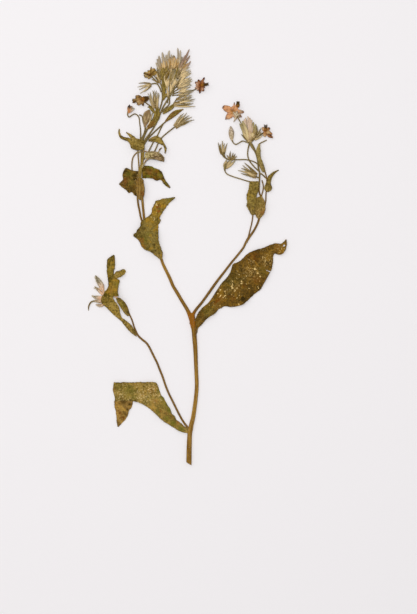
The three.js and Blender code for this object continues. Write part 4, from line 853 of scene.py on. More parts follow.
# four leaves of the low side shoot
shoot_skin = leaf_material("shoot_leaf_skin", "66541f", "b09348", "97792c", "8e5a26", 0.2, margin="3f3010")
tall_skin = leaf_material("tall_leaf_skin", "5a4a12", "8d762e", "a8822c", "8e5a22", 0.1, margin="3f3010")
add_leaf(
    "shoot_leaf_low", "leaf_low_a", shoot_skin,
    left=[[-34.6, -54.6], [-38, -52.3], [-41, -49.2], [-44, -45.7], [-46, -43.2], [-50, -40], [-53, -37],
          [-56, -34], [-58.5, -31.5], [-59, -29], [-58, -26.8]],
    right=[[-34.9, -53.4], [-36, -50.2], [-38, -47], [-41.4, -44], [-45, -41.2], [-46, -38], [-46.6, -35],
           [-48.6, -31.5], [-50.6, -28.9], [-50.4, -26.8]],
    pairs=7, seed=31, drop=0.75,
    dusk=[(-36.4, -52, 1.6, 0.5), (-40.4, -49.4, 1.2, 0.5), (-44, -44.6, 1.2, 0.3)])
add_leaf(
    "shoot_leaf_small", "leaf_low_b", shoot_skin,
    left=[[-40.8, -40.6], [-42.4, -39.3], [-44.6, -36.2], [-46.3, -33.4], [-47.9, -30.8], [-48.6, -28.6]],
    right=[[-39.6, -40.2], [-40.1, -37], [-41.9, -33.1], [-44.2, -29.8], [-45.8, -28.4], [-47.8, -28]],
    pairs=4, seed=33, ragged=0.18, drop=1.0,
    dusk=[(-40.6, -38, 1.4, 0.9), (-42.6, -34, 1.2, 0.6), (-46.5, -29.5, 1.4, 0.4)],
    green=[(-44.6, -33, 2.4, 0.5)])
add_leaf(
    "shoot_leaf_tall", "leaf_low_c", tall_skin,
    left=[[-57.4, -26.8], [-56.6, -24.4], [-54.7, -22], [-54, -20], [-54.3, -15], [-55, -10], [-55, -6],
          [-54.5, -2], [-50.4, 1.2]],
    right=[[-46.8, -27], [-47.4, -24], [-47, -20], [-46.2, -16.5], [-47.5, -15.3], [-49.8, -13.5],
           [-50.3, -11], [-49.5, -7], [-49.5, -2], [-49.7, 0.8]],
    pairs=7, seed=35, drop=0.8,
    rust=[(-52.4, -23.6, 2, 0.6)],
    dusk=[(-54.4, -15, 0.9, 0.5), (-47, -24, 1, 0.5)],
    gold=[(-51, -22, 4, 0.9), (-50, -17, 2.5, 0.6)],
    green=[(-48, -19, 2, 0.6), (-53.6, -10, 2, 0.5)])
add_leaf(
    "shoot_leaf_side", "leaf_low_d", shoot_skin,
    left=[[-50.6, -12.6], [-48.5, -10.3], [-46, -9.5], [-43.5, -8.6], [-42.2, -9.4]],
    right=[[-48.4, -15], [-46, -14], [-43.5, -12.5], [-42, -10.3]],
    pairs=4, seed=37, drop=0.75)

# the collar leaves round the base of the left head
collar_skin = leaf_material("collar_leaf_skin", "584716", "a68d48", "997c32", "76532a", 0.3,
                            margin="3f3010")
add_leaf(
    "collar_leaf_left", "leaf_collar_left", collar_skin,
    left=[[-29.2, 72.9], [-34, 72.3], [-38, 73.5], [-39.5, 77], [-40.6, 78.4], [-45.5, 80.5], [-47.1, 84],
          [-46.8, 87]],
    right=[[-29.2, 78.6], [-34, 80.2], [-38.5, 80.6], [-40.5, 80.9], [-44.5, 82], [-45.9, 84], [-46.3, 87]],
    pairs=5, seed=39, drop=0.9,
    dusk=[(-36, 74, 1.6, 0.5), (-33.5, 78, 1.2, 0.5), (-45.5, 81, 1.2, 0.4)])
add_leaf(
    "collar_leaf_spur", "leaf_collar_left", collar_skin,
    left=[[-37.4, 78], [-38.8, 80.6], [-40.2, 82.6], [-42, 84.4]],
    right=[[-34, 78.4], [-35.6, 81], [-38, 82.8], [-41.6, 84.9]],
    pairs=4, seed=41)
add_leaf(
    "collar_leaf_right", "leaf_collar_right", collar_skin,
    left=[[-26.6, 79.6], [-24.5, 81], [-21.5, 82.3], [-18, 80.6], [-16, 77.2], [-14.3, 73.5], [-15, 70]],
    right=[[-26.6, 78.4], [-24, 78.2], [-22, 78], [-19, 76.8], [-16.6, 75.4], [-15.6, 73], [-15.6, 70]],
    pairs=5, seed=43, drop=2.4)

leaf_bristle_skin = bristle_material("leaf_bristle", "8a6e34", "c9ac70", "d8c492", 0.6, 0.1)
leaf_bristles.build("leaf_bristles", leaf_bristle_skin, "leaf", "leaf_fork", smooth=False)


# ----------------------------------------------------------------------------------- the left head
# A fan of bristly stalks from the collar, which end in calyces of five narrow sepals each. Small leaf
# bracts and buds stand between them. Dried straw-grey, with mauve-grey sepal tips.
def sepal_material(name, dark, light, tip, tip_start, margin_share, rim):
    """The skin of a sepal: dark at its margins, paler along its keel and another colour at its tip"""
    material, shade = new_material(name)
    along = shade.attribute("along")
    streaks = shade.streaks((3.2, 3.2, 0.35))
    skin = (streaks * 0.6 + shade.attribute("tint") * 0.7).between(0.25, 0.85).mix(tone(dark), tone(light))
    clouds = shade.mottle(shade.place(), 3.5)
    skin = (clouds.between(0.52, 0.7) * 0.5).mix(skin, tone(dark))
    skin = (along.between(tip_start, tip_start + 0.4) * (0.4 + 0.6 * streaks)).mix(skin, tone(tip))
    skin = ((1 - along.between(0.02, 0.3)) * 0.45).mix(skin, tone("7e5c20"))
    skin = (shade.margin(-0.1, 0.75) * margin_share).mix(skin, tone(rim))
    return finish_material(material, skin, 0.75, streaks, 0.12)


calyx_skin = sepal_material("dry_calyx", "755f30", "ead09c", "857f6a", 0.5, 0.6, "54421e")
calyx_bristle_skin = bristle_material("calyx_bristle", "c8b07c", "e4d2a8", "ecdfc0", 0.5, 0.1)

stalk_skin, shade = new_material("dry_stalk")
streaks = shade.streaks((3, 3, 0.2))
skin = streaks.between(0.4, 0.6).mix(tone("5f4f2a"), tone("a8935e"))
skin = (shade.mottle(shade.place(), 5).between(0.45, 0.65) * 0.6).mix(skin, tone("65522a"))
skin = (shade.attribute("tint") * 0.6).mix(skin, tone("5e4d24"))
finish_material(stalk_skin, skin, 0.7, streaks, 0.12)

bract_skin, shade = new_material("dry_bract")
place = shade.place()
streaks = shade.streaks((2.6, 2.6, 0.4), 4)
skin = (streaks * 0.6 + shade.mottle(place, 1.2, 4) * 0.4).between(0.42, 0.6)
skin = skin.mix(tone("66541f"), tone("9c8440"))
browned = shade.attribute("tint").between(0.35, 1) * shade.mottle(place, 3).between(0.38, 0.56)
skin = (shade.margin(-0.2, 0.5) * 0.6).mix(browned.mix(skin, tone("75501e")), tone("463812"))
finish_material(bract_skin, skin, 0.72, streaks, 0.15)

withered_skin, shade = new_material("withered_bract")
streaks = shade.streaks((2.6, 2.6, 0.4), 4)
skin = streaks.between(0.42, 0.6).mix(tone("806a46"), tone("b0986e"))
skin = (shade.mottle(shade.place(), 2.5, 4).between(0.5, 0.62) * 0.6).mix(skin, tone("8c6a4c"))
skin = (shade.margin(-0.2, 0.5) * 0.6).mix(skin, tone("6b5a30"))
finish_material(withered_skin, skin, 0.75, streaks, 0.15)

left_solid = Solid("left_cyme")
LEFT_STALKS = [
    [[-33.4, 74.6, 1.1], [-32.3, 79, 1], [-32, 85, 0.9], [-32.5, 90, 0.8], [-33.5, 95.5], [-36, 97.2],
     [-38, 96.2], [-40, 95], [-40.9, 97], [-40.5, 99.6]],
    [[-32.6, 74.6, 1.2], [-31.3, 80, 1.1], [-29.6, 84, 1], [-28.9, 88], [-30.3, 92], [-31, 95.6, 0.9],
     [-33, 96.6, 0.8]],
    [[-31.8, 74.6, 1.2], [-30, 81], [-27.8, 86, 1.1], [-25.6, 90.5], [-23.5, 94], [-21, 98]],
    [[-31.4, 74.6, 1.4], [-28.8, 79.5], [-26, 83.5, 1.2], [-23, 88, 1.1], [-20.6, 92.5], [-18.8, 97],
     [-16.6, 102], [-13.6, 107], [-10.5, 112], [-8.8, 118], [-8.2, 124, 1], [-8.2, 129, 0.9]],
    [[-30.6, 75.2, 1.2], [-26.8, 80.6, 1.1], [-23, 84.6, 1], [-18, 89.2], [-14.6, 92.3], [-11, 95.6]],
    [[-29.6, 66, 0.9], [-26.6, 71.5], [-23.6, 77.4], [-21, 81.6], [-18.6, 86.6], [-16.4, 90.8]],
    [[-30.4, 66.4, 0.9], [-24.6, 69.6], [-22.4, 72], [-20.1, 77], [-17.8, 80.8], [-13.3, 84.8], [-10, 87.4],
     [-7.6, 89.2]],
    [[-21.6, 96.5, 1.1], [-21.4, 99.5, 1], [-22, 102.5]],
    [[-20.6, 97, 1.1], [-18.8, 101, 1], [-17.2, 107], [-17.3, 113], [-17.2, 119], [-16.4, 124],
     [-16.6, 128, 0.9]],
    [[-19.4, 96.8, 1], [-15.8, 100.6, 0.9], [-12.6, 103.8], [-12.3, 107.4], [-12.2, 113], [-12.4, 121],
     [-12.2, 128.5]],
    [[-17.5, 98.5, 1], [-13, 101.5], [-9, 103.6]],
    [[-9.3, 103, 0.9], [-8.6, 105.6, 0.8], [-7.4, 107.2]],
    [[-18, 112, 0.9], [-19.2, 115.4], [-20.8, 117.6], [-23, 117.9], [-25.6, 117.2]],
    [[-17.4, 114, 0.9], [-18.2, 117], [-19.4, 119.4]],
    [[-9.6, 111, 0.9], [-5, 112.4, 0.8], [0, 112.6], [4, 113.4], [6.8, 115], [8.6, 116.2, 0.9]],
    [[-20.4, 118.6, 0.9], [-22.6, 120.8, 0.8], [-24.8, 123, 0.9]],
    [[-22, 101.4, 0.9], [-25.4, 102.6, 0.8], [-29.6, 105.8, 0.9]],
]
# [knots, how brown]
LEFT_BRACTS = [
    [[[-28.2, 86.4, 1], [-25, 89.6, 3.6], [-22, 92.3, 3.2], [-20.4, 94, 0.5]], 0.8],
    [[[-22.6, 90.5, 1.2], [-21.2, 94.5, 4.4], [-20.6, 98, 3.6], [-20.2, 102, 0.8]], 0.3],
    [[[-21.8, 97, 1], [-23.8, 99.8, 2.2], [-26.3, 102, 1.4], [-27.2, 101.6, 0.4]], 0.3],
    [[[-16.8, 97.2, 1], [-13.5, 99.8, 2.6], [-10.4, 102.2, 2.6], [-7.8, 105, 0.6]], 0.2],
    [[[-15.2, 91.8, 1], [-11.4, 95.4, 3.2], [-8, 98, 3.4], [-2.8, 100.5, 0.5]], 0.8],
    [[[-16.6, 106.5, 1], [-15.6, 109.5, 3], [-14, 110, 2.4], [-12.6, 107.6, 0.5]], 0.2],
    [[[-16.4, 108.5, 1], [-15.9, 113, 2.4], [-15.8, 118, 2.8], [-16.5, 122, 0.8]], 0.1],
    [[[-17.4, 120.5, 1.4], [-16.8, 124.5, 4.4], [-15.4, 127.5, 4.6], [-13.8, 130.5, 0.8]], 0.6],
    [[[-14.8, 119.5, 1], [-14.4, 122.5, 2.6], [-13.6, 125.5, 2.4], [-12.6, 128.5, 0.6]], 0.6],
    [[[-12, 119, 1], [-11.2, 122.5, 1.9], [-10.4, 126, 1.9], [-9.8, 129, 0.6]], 0.4],
    [[[-8.8, 120.6, 0.9], [-8, 124, 1.6], [-7.2, 126.6, 1.6], [-6.4, 128.8, 0.5]], 0.2],
]
WITHERED_BRACT = [[-29.2, 88.2, 1.2], [-28.2, 93, 4.2], [-27.3, 97, 5.2], [-26, 100, 1.2]]
PALE_PEDICEL = [[-27.8, 86.8, 0.8], [-26.4, 90, 0.9], [-25.1, 94, 1], [-23.8, 98, 0.9]]
# [root, tips, width of a sepal, how pale]
LEFT_CALYCES = [
    [(-8.4, 88.4), [(-4.6, 96.6), (-2.4, 97.6), (-0.4, 98), (1.3, 96.2), (3.3, 95.2), (4.8, 93)],
     1.2, (-0.4, 0.6)],
    [(-7.4, 89.6), [(-5.4, 94.6), (-2.6, 95.8), (0.2, 94.6), (2.4, 93)], 1.1, (-0.5, 0.4)],
    [(-9.4, 103.6), [(3.4, 108.8), (5.4, 107.3), (4.4, 105.9), (4.3, 104.5), (5.5, 102.3)],
     1.1, (-0.2, 0.8)],
    [(-6.4, 104.8), [(1.4, 108), (2.8, 106.6), (2.4, 104.8), (1.2, 103.2)], 0.9, (-0.1, 0.9)],
    [(-7.6, 107), [(-1.6, 110.4), (3.2, 109.9), (4.2, 112.4)], 0.9, (-0.2, 0.8)],
    [(-22, 101.6), [(-27.2, 111.4), (-25.4, 112.2), (-24, 113.4), (-22.6, 113.6), (-21.2, 113.2),
                    (-19.4, 111.6)], 1.0, (-0.5, 0.5)],
    [(-25, 117.2), [(-33.5, 117.9), (-34.1, 115.5), (-33.1, 113.5), (-32.5, 111), (-29.6, 112.2)],
     0.95, (-0.3, 0.65)],
    [(-19.2, 118.6), [(-24.6, 121), (-23.4, 123.4), (-21.2, 125.4), (-18.6, 126)], 1.1, (-0.2, 0.8)],
    [(-18.6, 120.4), [(-22, 127.6), (-20.6, 128.8), (-19, 128.4)], 1.3, (-0.2, 0.8)],
]
INNER_CALYCES = [
    [(-21.7, 101.2), [(-26.4, 108.4), (-25, 111), (-23.3, 112.4), (-21.8, 112.2), (-20.3, 111.8),
                      (-19, 110.4)],
     1.3, (-0.3, 1)],
]
CROWN_CALYCES = [
    [(-16.8, 127), [(-21.6, 132.2), (-20.8, 134.6), (-19.4, 136.8), (-17.2, 139.2), (-15.8, 135.6)],
     2.1, (-0.3, 0.6)],
    [(-12.6, 127), [(-14.4, 137.4), (-12.4, 140.4), (-10.9, 137.6)], 1.9, (0.1, 0.6)],
    [(-7.6, 127), [(-8.8, 136), (-6.8, 142.2), (-4.9, 140.6), (-3.2, 136)], 1.5, (0.1, 0.7)],
]
CROWN_SIDE = [(-5.6, 126), [(-1.6, 137.2), (1.3, 141.3), (1.8, 137), (2.2, 133.2)], 1.7]
CROWN_FOOT = [[-16.4, -18, 132], [-15.4, -16.4, 133.4], [-14.4, -14.8, 134.6], [-13.4, -13.6, 133.6],
              [-12.4, -12, 135], [-11.4, -11, 133.8], [-10.4, -9.6, 135.4], [-9.4, -8.4, 133.8],
              [-8.4, -7.2, 135], [-7.4, -5.8, 133.6], [-6.4, -4.4, 134.8], [-5.4, -2.8, 133.2],
              [-4.4, -1.2, 134], [-3.4, 0.4, 131.8]]  # x of the root, x and y of the tip
# The brush: calyces crowded on the right of the tall stalk, [x, y on the stalk, the way they point]
BRUSH = [[-10.6, 109.6, 6], [-10.4, 110.4, 21], [-10.2, 111.4, 36], [-10, 112.4, 54], [-9.6, 115, 16],
         [-9.4, 116, 31], [-9.2, 117, 46], [-9, 118, 64], [-9, 120, 30], [-8.8, 121, 47], [-8.6, 122, 64],
         [-8.6, 123, 80], [-12.2, 110.6, 68], [-12.4, 113.4, 82], [-12.2, 117, 74], [-12.4, 120, 88],
         [-15.6, 119.6, 84], [-14.6, 116, 96], [-17.2, 117.4, 98], [-10.4, 113.8, 26],
         [-13.6, 104.6, 86], [-12.8, 107.4, 76], [-13.4, 110.6, 94]]
BRUSH_PEDICEL = 4.2
BRUSH_SPREAD = (-15, -8, -1, 7, 14)
BRUSH_EDGE = (3.9, 130)
BRUSH_FOOT = 115  # above this y the bracts stand out of it
CALYX_BRISTLES = 7  # for each millimetre of a sepal


def add_stalk(stalks, bristles, knots, solid, draw):
    """A ribbed and bristly flower stalk, which lies on the underside of its solid"""
    limb = Limb(knots, solid, 0.8, 0.7, from_above=False)
    stalks.add_limb(limb, 10, draw.random(), ribs=5, rib=0.08)
    bristles.bristle_limb(limb, 3, 0.9, draw, 0.028)


def sepal(root, tip, width, solid, draw, lift=0.0, blunt=0.0):
    """A narrow leaflet of a calyx from its root to its tip, which is pointed, or rounder for blunt"""
    root, tip = np.array(root, float), np.array(tip, float)
    way = tip - root
    aside = np.array([-way[1], way[0]]) * draw.uniform(-0.09, 0.09)
    knots = [[*root, (0.7 - 0.3 * blunt) * width],
             [*(root + 0.2 * way + 0.5 * aside), (1 - 0.4 * blunt) * width],
             [*(root + 0.48 * way + aside), (1 - 0.1 * blunt) * width],
             [*(root + 0.76 * way + 0.7 * aside), (0.66 + 0.34 * blunt) * width],
             [*(root + 0.93 * way + 0.3 * aside), (0.34 + 0.4 * blunt) * width],
             [*tip, 0.14 + 0.3 * blunt * width]]
    return Limb(knots, solid, 0.42, 0.6, lift=lift)


def add_sepal(sepals, bristles, limb, tint, draw, per_mm=CALYX_BRISTLES, length=1.0, thick=0.034):
    """A keeled sepal and its bristles, per_mm for each millimetre of its length"""
    sepals.add_limb(limb, 10, tint, 0.12)
    bristles.bristle_limb(limb, per_mm, length, draw, thick)


def add_calyx(sepals, bristles, root, tips, width, solid, draw, pale, cup=0.42, blunt=0.0):
    """Sepals side by side on the rim of a small cup at the root, pale between the two shares"""
    root = np.array(root, float)
    way = unit(np.mean(tips, axis=0) - root)
    aside = np.array([-way[1], way[0]])
    tips = sorted(tips, key=lambda tip: float((np.array(tip) - root) @ aside))
    for i, tip in enumerate(tips):
        offset = (i - (len(tips) - 1) / 2) * cup * width
        start = root + aside * offset - way * 0.25 * abs(offset)
        limb = sepal(start, tip, width, solid, draw, draw.uniform(-0.1, 0.25), blunt)
        add_sepal(sepals, bristles, limb, draw.uniform(*pale), draw)


draw = random.Random(5)
left_stalks, left_bracts, left_sepals, left_bristles, withered_bract = [Bundle() for _ in range(5)]
for route in LEFT_STALKS:
    add_stalk(left_stalks, left_bristles, route, left_solid, draw)
for knots, brown in LEFT_BRACTS:
    limb = Limb(knots, left_solid, 0.3, 0.5, lift=0.25 if knots[0][1] > BRUSH_FOOT else 0)
    left_bracts.add_limb(limb, 14, brown, 0.1)
    left_bristles.bristle_limb(limb, 4, 0.8, draw, 0.028)
withered_bract.add_limb(Limb(WITHERED_BRACT, left_solid, 0.3, 0.5), 16, 0.5, 0.08)
withered_bract.build("left_head_withered_bract", withered_skin, "calyx", "left_cyme")
for root, tips, width, pale in LEFT_CALYCES:
    add_calyx(left_sepals, left_bristles, root, tips, width, left_solid, draw, pale)
inner_draw = random.Random(8)
for root, tips, width, pale in INNER_CALYCES:
    add_calyx(left_sepals, left_bristles, root, tips, width, left_solid, inner_draw, pale)
left_sepals.add_limb(Limb(PALE_PEDICEL, left_solid, 0.8, 0.7, lift=0.1), 10, 0.6, ribs=5, rib=0.06)
for x, y, degrees in BRUSH:
    turn = math.radians(degrees)
    root = (x + BRUSH_PEDICEL * math.cos(turn), y + BRUSH_PEDICEL * math.sin(turn))
    knots = [[x, y, 0.8], [(x + root[0]) / 2, (y + root[1]) / 2 + 0.2, 0.7], [*root, 0.9]]
    left_stalks.add_limb(Limb(knots, left_solid, 0.8, 0.7, lift=-0.3), 8, draw.random(), ribs=5, rib=0.08)
    pale = draw.uniform(-0.05, 0.95)
    for spread in BRUSH_SPREAD:
        turn = math.radians(degrees + spread + draw.uniform(-3, 3))
        length = draw.uniform(7.6, 10)
        tip = (min(root[0] + length * math.cos(turn), BRUSH_EDGE[0] - draw.uniform(0, 1.4)),
               min(root[1] + length * math.sin(turn), BRUSH_EDGE[1] - draw.uniform(0, 1.4)))
        limb = sepal(root, tip, draw.uniform(0.8, 1.15), left_solid, draw, draw.uniform(-0.3, 0.35))
        add_sepal(left_sepals, left_bristles, limb, pale + draw.uniform(-0.35, 0.5), draw)
left_stalks.build("left_head_stalks", stalk_skin, "calyx", "left_cyme")
left_bracts.build("left_head_bracts", bract_skin, "calyx", "left_cyme")
left_sepals.build("left_head_sepals", calyx_skin, "calyx", "left_cyme")
left_bristles.build("left_head_bristles", calyx_bristle_skin, "calyx", "left_cyme", smooth=False)

# the crown of the head: the oldest calyces, mauve-grey above and ochre at their bases
crown_skin = sepal_material("crown_calyx", "a48656", "dcc49a", "a89e8e", 0.2, 0.65, "66563e")
side_skin = sepal_material("crown_side_calyx", "a4866a", "e0c4a0", "8e7266", 0.3, 0.55, "54423a")
foot_skin = sepal_material("crown_foot", "a8844a", "e2c088", "c8ac84", 0.6, 0.6, "6a4e24")
crown_solid = Solid("left_cyme", "corolla_7")
crown_sepals, crown_side, crown_foot, crown_bristles = [Bundle() for _ in range(4)]
for root, tips, width, pale in CROWN_CALYCES:
    add_calyx(crown_sepals, crown_bristles, root, tips, width, crown_solid, draw, pale, blunt=0.4)
add_calyx(crown_side, crown_bristles, *CROWN_SIDE, crown_solid, draw, (0, 0.6), blunt=0.3)
for root_x, x, y in CROWN_FOOT:
    limb = sepal((root_x, 127.8), (x, y), 1.4, crown_solid, draw, draw.uniform(0, 0.5), 0.2)
    add_sepal(crown_foot, crown_bristles, limb, draw.uniform(-0.3, 1), draw, CALYX_BRISTLES, 0.9, 0.03)
crown_sepals.build("left_head_crown", crown_skin, "calyx", "left_cyme")
crown_side.build("left_head_crown_side", side_skin, "calyx", "left_cyme")
crown_foot.build("left_head_crown_foot", foot_skin, "calyx", "left_cyme")
crown_bristles.build("left_head_crown_bristles", calyx_bristle_skin, "calyx", "left_cyme", smooth=False)


# the calyx that hangs from the stem below the collar: a closed, hairy, mauve-brown one
def hairy_material(name, dark, light, tip_dark, tip_light, margin, start=0.15, end=0.9):
    """The skin of a woolly bud, which changes from its base to its tip between start and end"""
    material, shade = new_material(name)
    streaks = shade.streaks((2.6, 2.6, 0.3), 4)
    stripe = (streaks * 0.5 + shade.mottle(shade.place(), 0.9, 3) * 0.5).between(0.43, 0.58)
    towards_tip = shade.attribute("along").between(start, end) * (0.3 + 0.7 * shade.attribute("tint"))
    skin = towards_tip.mix(stripe.mix(tone(dark), tone(light)), stripe.mix(tone(tip_dark), tone(tip_light)))
    skin = (shade.margin(-0.1, 0.7) * 0.75).mix(skin, tone(margin))
    return finish_material(material, skin, 0.8, streaks, 0.15)


mauve_skin = hairy_material("mauve_calyx", "847040", "d6c48c", "40280e", "b09068", "38260f", 0.12, 0.55)
droop_solid = Solid("drooping_calyx")
DROOP_STALKS = [
    [[-34, 70.8, 0.7], [-31, 71.7, 0.8], [-27.5, 71.2, 0.9], [-25.5, 70.2, 1.4]],
    [[-31, 60.4, 0.9], [-29.4, 63.4, 0.9], [-28.2, 65.2, 0.9], [-26, 67, 1.2]],
]
DROOP_SEPALS = [(-1.7, 2.0), (-0.8, 2.3), (0.2, 2.4), (1.1, 2.2), (1.9, 1.8)]  # off the middle, width
CURL = [[-20.4, 69.6, 0.7], [-19.5, 71.6, 0.8], [-18.6, 73.2, 1], [-17.4, 74.2, 0.4]]  # a dry thread end
drooping, droop_bristles = Bundle(), Bundle()
for knots in DROOP_STALKS:
    limb = Limb(knots, droop_solid, 0.8, 0.6, from_above=False)
    drooping.add_limb(limb, 10, 0.9, ribs=5, rib=0.06)
    droop_bristles.bristle_limb(limb, 5, 1.1, draw)
for aside, width in DROOP_SEPALS:
    knots = [[-29, 68.4 + 0.7 * aside, 0.9], [-25.6, 68.9 + 0.9 * aside, width],
             [-21.5, 68.6 + aside, width * 1.05], [-18.1, 67.3 + 0.85 * aside, width * 0.95],
             [-16, 65.9 + 0.6 * aside, width * 0.4]]
    limb = Limb(knots, droop_solid, 0.8, 0.5, lift=-0.15 * abs(aside))
    drooping.add_limb(limb, 12, draw.uniform(0.3, 1), 0.06)
    droop_bristles.bristle_limb(limb, 5, 1.0, draw, 0.028)
drooping.add_limb(Limb(CURL, droop_solid, 0.8, 0.4), 10, 0.9)
drooping.build("drooping_calyx_sepals", mauve_skin, "calyx", "drooping_calyx")
droop_bristles.build("drooping_calyx_bristles", calyx_bristle_skin, "calyx", "drooping_calyx", smooth=False)


# ---------------------------------------------------------------------------------- the right head
# Fewer, longer stalks: one large bunch of calyces, small ones that nod at their side, a closed bud.
right_solid = Solid("right_cyme")
RIGHT_STALKS = [
    [[48.7, 47.4, 1.1], [49, 53], [49, 57], [48.2, 60.5], [48, 64], [47.3, 68], [46, 71.6, 1.3],
     [44.7, 74, 2], [43.4, 76.2, 2.2], [42.4, 77.8, 1.8]],
    [[48.8, 58, 0.9], [47.5, 59.1], [45, 61.6], [42.1, 65.4], [41, 69], [41.2, 73], [42.1, 77, 1]],
    [[49, 57.2, 0.9], [51, 55.8], [52.4, 54.6, 0.8]],
    [[48.2, 62.6, 0.8], [46, 64.2], [43, 65.4], [39, 66.1], [35, 66], [30.6, 66, 0.9], [27.4, 66.3],
     [25.6, 67.4, 1.1], [24.4, 69.2, 2], [24, 71, 2.6]],
    [[48.7, 50.6, 0.9], [45, 50.6, 0.8], [41.6, 51.2], [35, 53.2], [30, 54.8], [26.6, 56.5],
     [25.4, 58.6, 0.9], [25.4, 60.4, 1.8], [25.8, 62, 2.3], [26.4, 63.4, 1.2]],
    [[48.9, 53.6, 0.9], [47, 54.2, 1], [45, 55.4]],
    [[42.6, 77, 1], [40, 78, 0.8], [37.4, 78.7], [35.4, 77.6], [33, 76.4], [31.2, 77.4], [30.4, 79.6, 0.9]],
    [[47.4, 68, 0.8], [48.2, 73.6], [48.8, 76.6], [51.5, 78.2], [54, 79.4, 0.7]],
    [[42.6, 77.6, 1.3], [44.6, 79.6, 1.4], [47.6, 81.8, 1.2], [50, 83.4], [52, 84.4, 1]],
    [[41.8, 79, 1], [39, 84.4, 0.9], [36.8, 90, 0.8], [35.2, 93], [33.4, 96, 0.9]],
]
RIGHT_CALYCES = [
    [(45.4, 80.2), [(50.4, 87.6), (50.2, 85.4), (51.6, 83), (49.4, 81.4)], 1.3, (0.1, 1.1)],
    [(24, 69.8), [(20.9, 77.8), (22.4, 76.8), (23.7, 79), (25.4, 77.2), (27.2, 77.3)], 1.2, (-0.2, 0.8)],
    [(29.4, 66), [(26.6, 69.4), (29.3, 71.9), (31, 70.8), (32.6, 70.2), (33.8, 68.4)], 1.1, (-0.6, 0.3)],
    [(46.6, 54.4), [(34.2, 58.6), (36.2, 56.6), (37.8, 60.2), (40.4, 57.4)], 1.3, (-0.7, 0.5)],
    [(46.8, 55.6), [(37.4, 62.3), (38.6, 64), (36.4, 60), (42, 60.6)], 1.3, (-0.6, 0.6)],
]
NODDING_CALYX = [(25.6, 60.8), [(26.8, 66.2), (29, 66.4), (30.8, 66.2), (32.6, 65.6)], 1.9]
DARK_SEPALS = [[(41.6, 78.4), (36.4, 83.4), 1.5], [(40.6, 79.6), (35, 90.6), 1],
               [(43.6, 79), (50.2, 87.9), 0.9], [(46.4, 81.4), (47.2, 89), 0.9]]
LARGE_CALYX = [
    [(41.8, 78.4), [(38.6, 93.2), (39.8, 94.5), (40.9, 95.3), (42.4, 94.3), (43.8, 93)], 2.3],
    [(42.2, 79.4), [(40.7, 93), (42.6, 91.4), (44, 89.4)], 2.1],
]
LARGE_SIDE = [(42, 78), [(35.5, 90.1), (36.3, 91.2), (37.2, 92.2), (37.4, 88), (45, 91.6), (46.4, 90.2),
                         (47.2, 88.4), (47.2, 86)], 2.3]
BACK_CALYX = [(33.4, 96.4), [(31.3, 91.4), (30.8, 98.6), (34.2, 99.4), (36.6, 97)], 1.4]
right_stalks, right_sepals, right_bristles, right_bud, large_sepals, large_side = [Bundle() for _ in range(6)]
large_skin = sepal_material("large_calyx", "98744a", "f4dab2", "dac2ae", 0.3, 0.8, "6f5638")
large_side_skin = sepal_material("large_calyx_side", "8c7038", "dcc694", "8f8456", 0.5, 0.8, "54431e")
for route in RIGHT_STALKS:
    add_stalk(right_stalks, right_bristles, route, right_solid, draw)
for root, tips, width, pale in RIGHT_CALYCES:
    add_calyx(right_sepals, right_bristles, root, tips, width, right_solid, draw, pale)
add_calyx(right_sepals, right_bristles, *NODDING_CALYX, right_solid, draw, (-0.1, 0.5), 0.3)
for root, tip, width in DARK_SEPALS:
    limb = sepal(root, tip, width, right_solid, draw, 0.3)
    add_sepal(right_sepals, right_bristles, limb, -0.6, draw, 4, 0.9, 0.03)
for root, tips, width in LARGE_CALYX:
    add_calyx(large_sepals, right_bristles, root, tips, width, right_solid, draw, (-0.3, 1.1), 0.1, 0.6)
add_calyx(large_side, right_bristles, *LARGE_SIDE, right_solid, draw, (0, 1), 0.1, 0.5)
back_root, back_tips, back_width = BACK_CALYX
for tip in back_tips:
    limb = sepal(back_root, tip, back_width, right_solid, draw)
    add_sepal(right_bud, right_bristles, limb, draw.uniform(0, 0.5), draw, 3, 0.7, 0.026)
for aside in (-0.8, 0, 0.8):  # the three sepals of the bud that can be seen
    knots = [[30.4, 78.8, 1.0], [30 + 0.6 * aside, 81.5, 1.9], [29.8 + aside, 85, 2.0],
             [29.6 + 0.5 * aside, 87.6, 1.0], [29.5 + 0.2 * aside, 88.9, 0.2]]
    limb = Limb(knots, right_solid, 0.75, 0.5, lift=-0.12 * abs(aside))
    right_bud.add_limb(limb, 12, draw.random(), 0.06)
    right_bristles.bristle_limb(limb, 7, 1.0, draw, 0.026)
right_stalks.build("right_head_stalks", stalk_skin, "calyx", "right_cyme")
right_sepals.build("right_head_sepals", calyx_skin, "calyx", "right_cyme")
large_sepals.build("right_head_large_calyx", large_skin, "calyx", "right_cyme")
large_side.build("right_head_large_calyx_side", large_side_skin, "calyx", "right_cyme")
bud_grey_skin = hairy_material("grey_bud", "a48e6a", "dac8aa", "8a7a6c", "c6b6a6", "7c6a52")
right_bud.build("right_head_grey_calyces", bud_grey_skin, "calyx", "right_cyme")
right_bristles.build("right_head_bristles", calyx_bristle_skin, "calyx", "right_cyme", smooth=False)


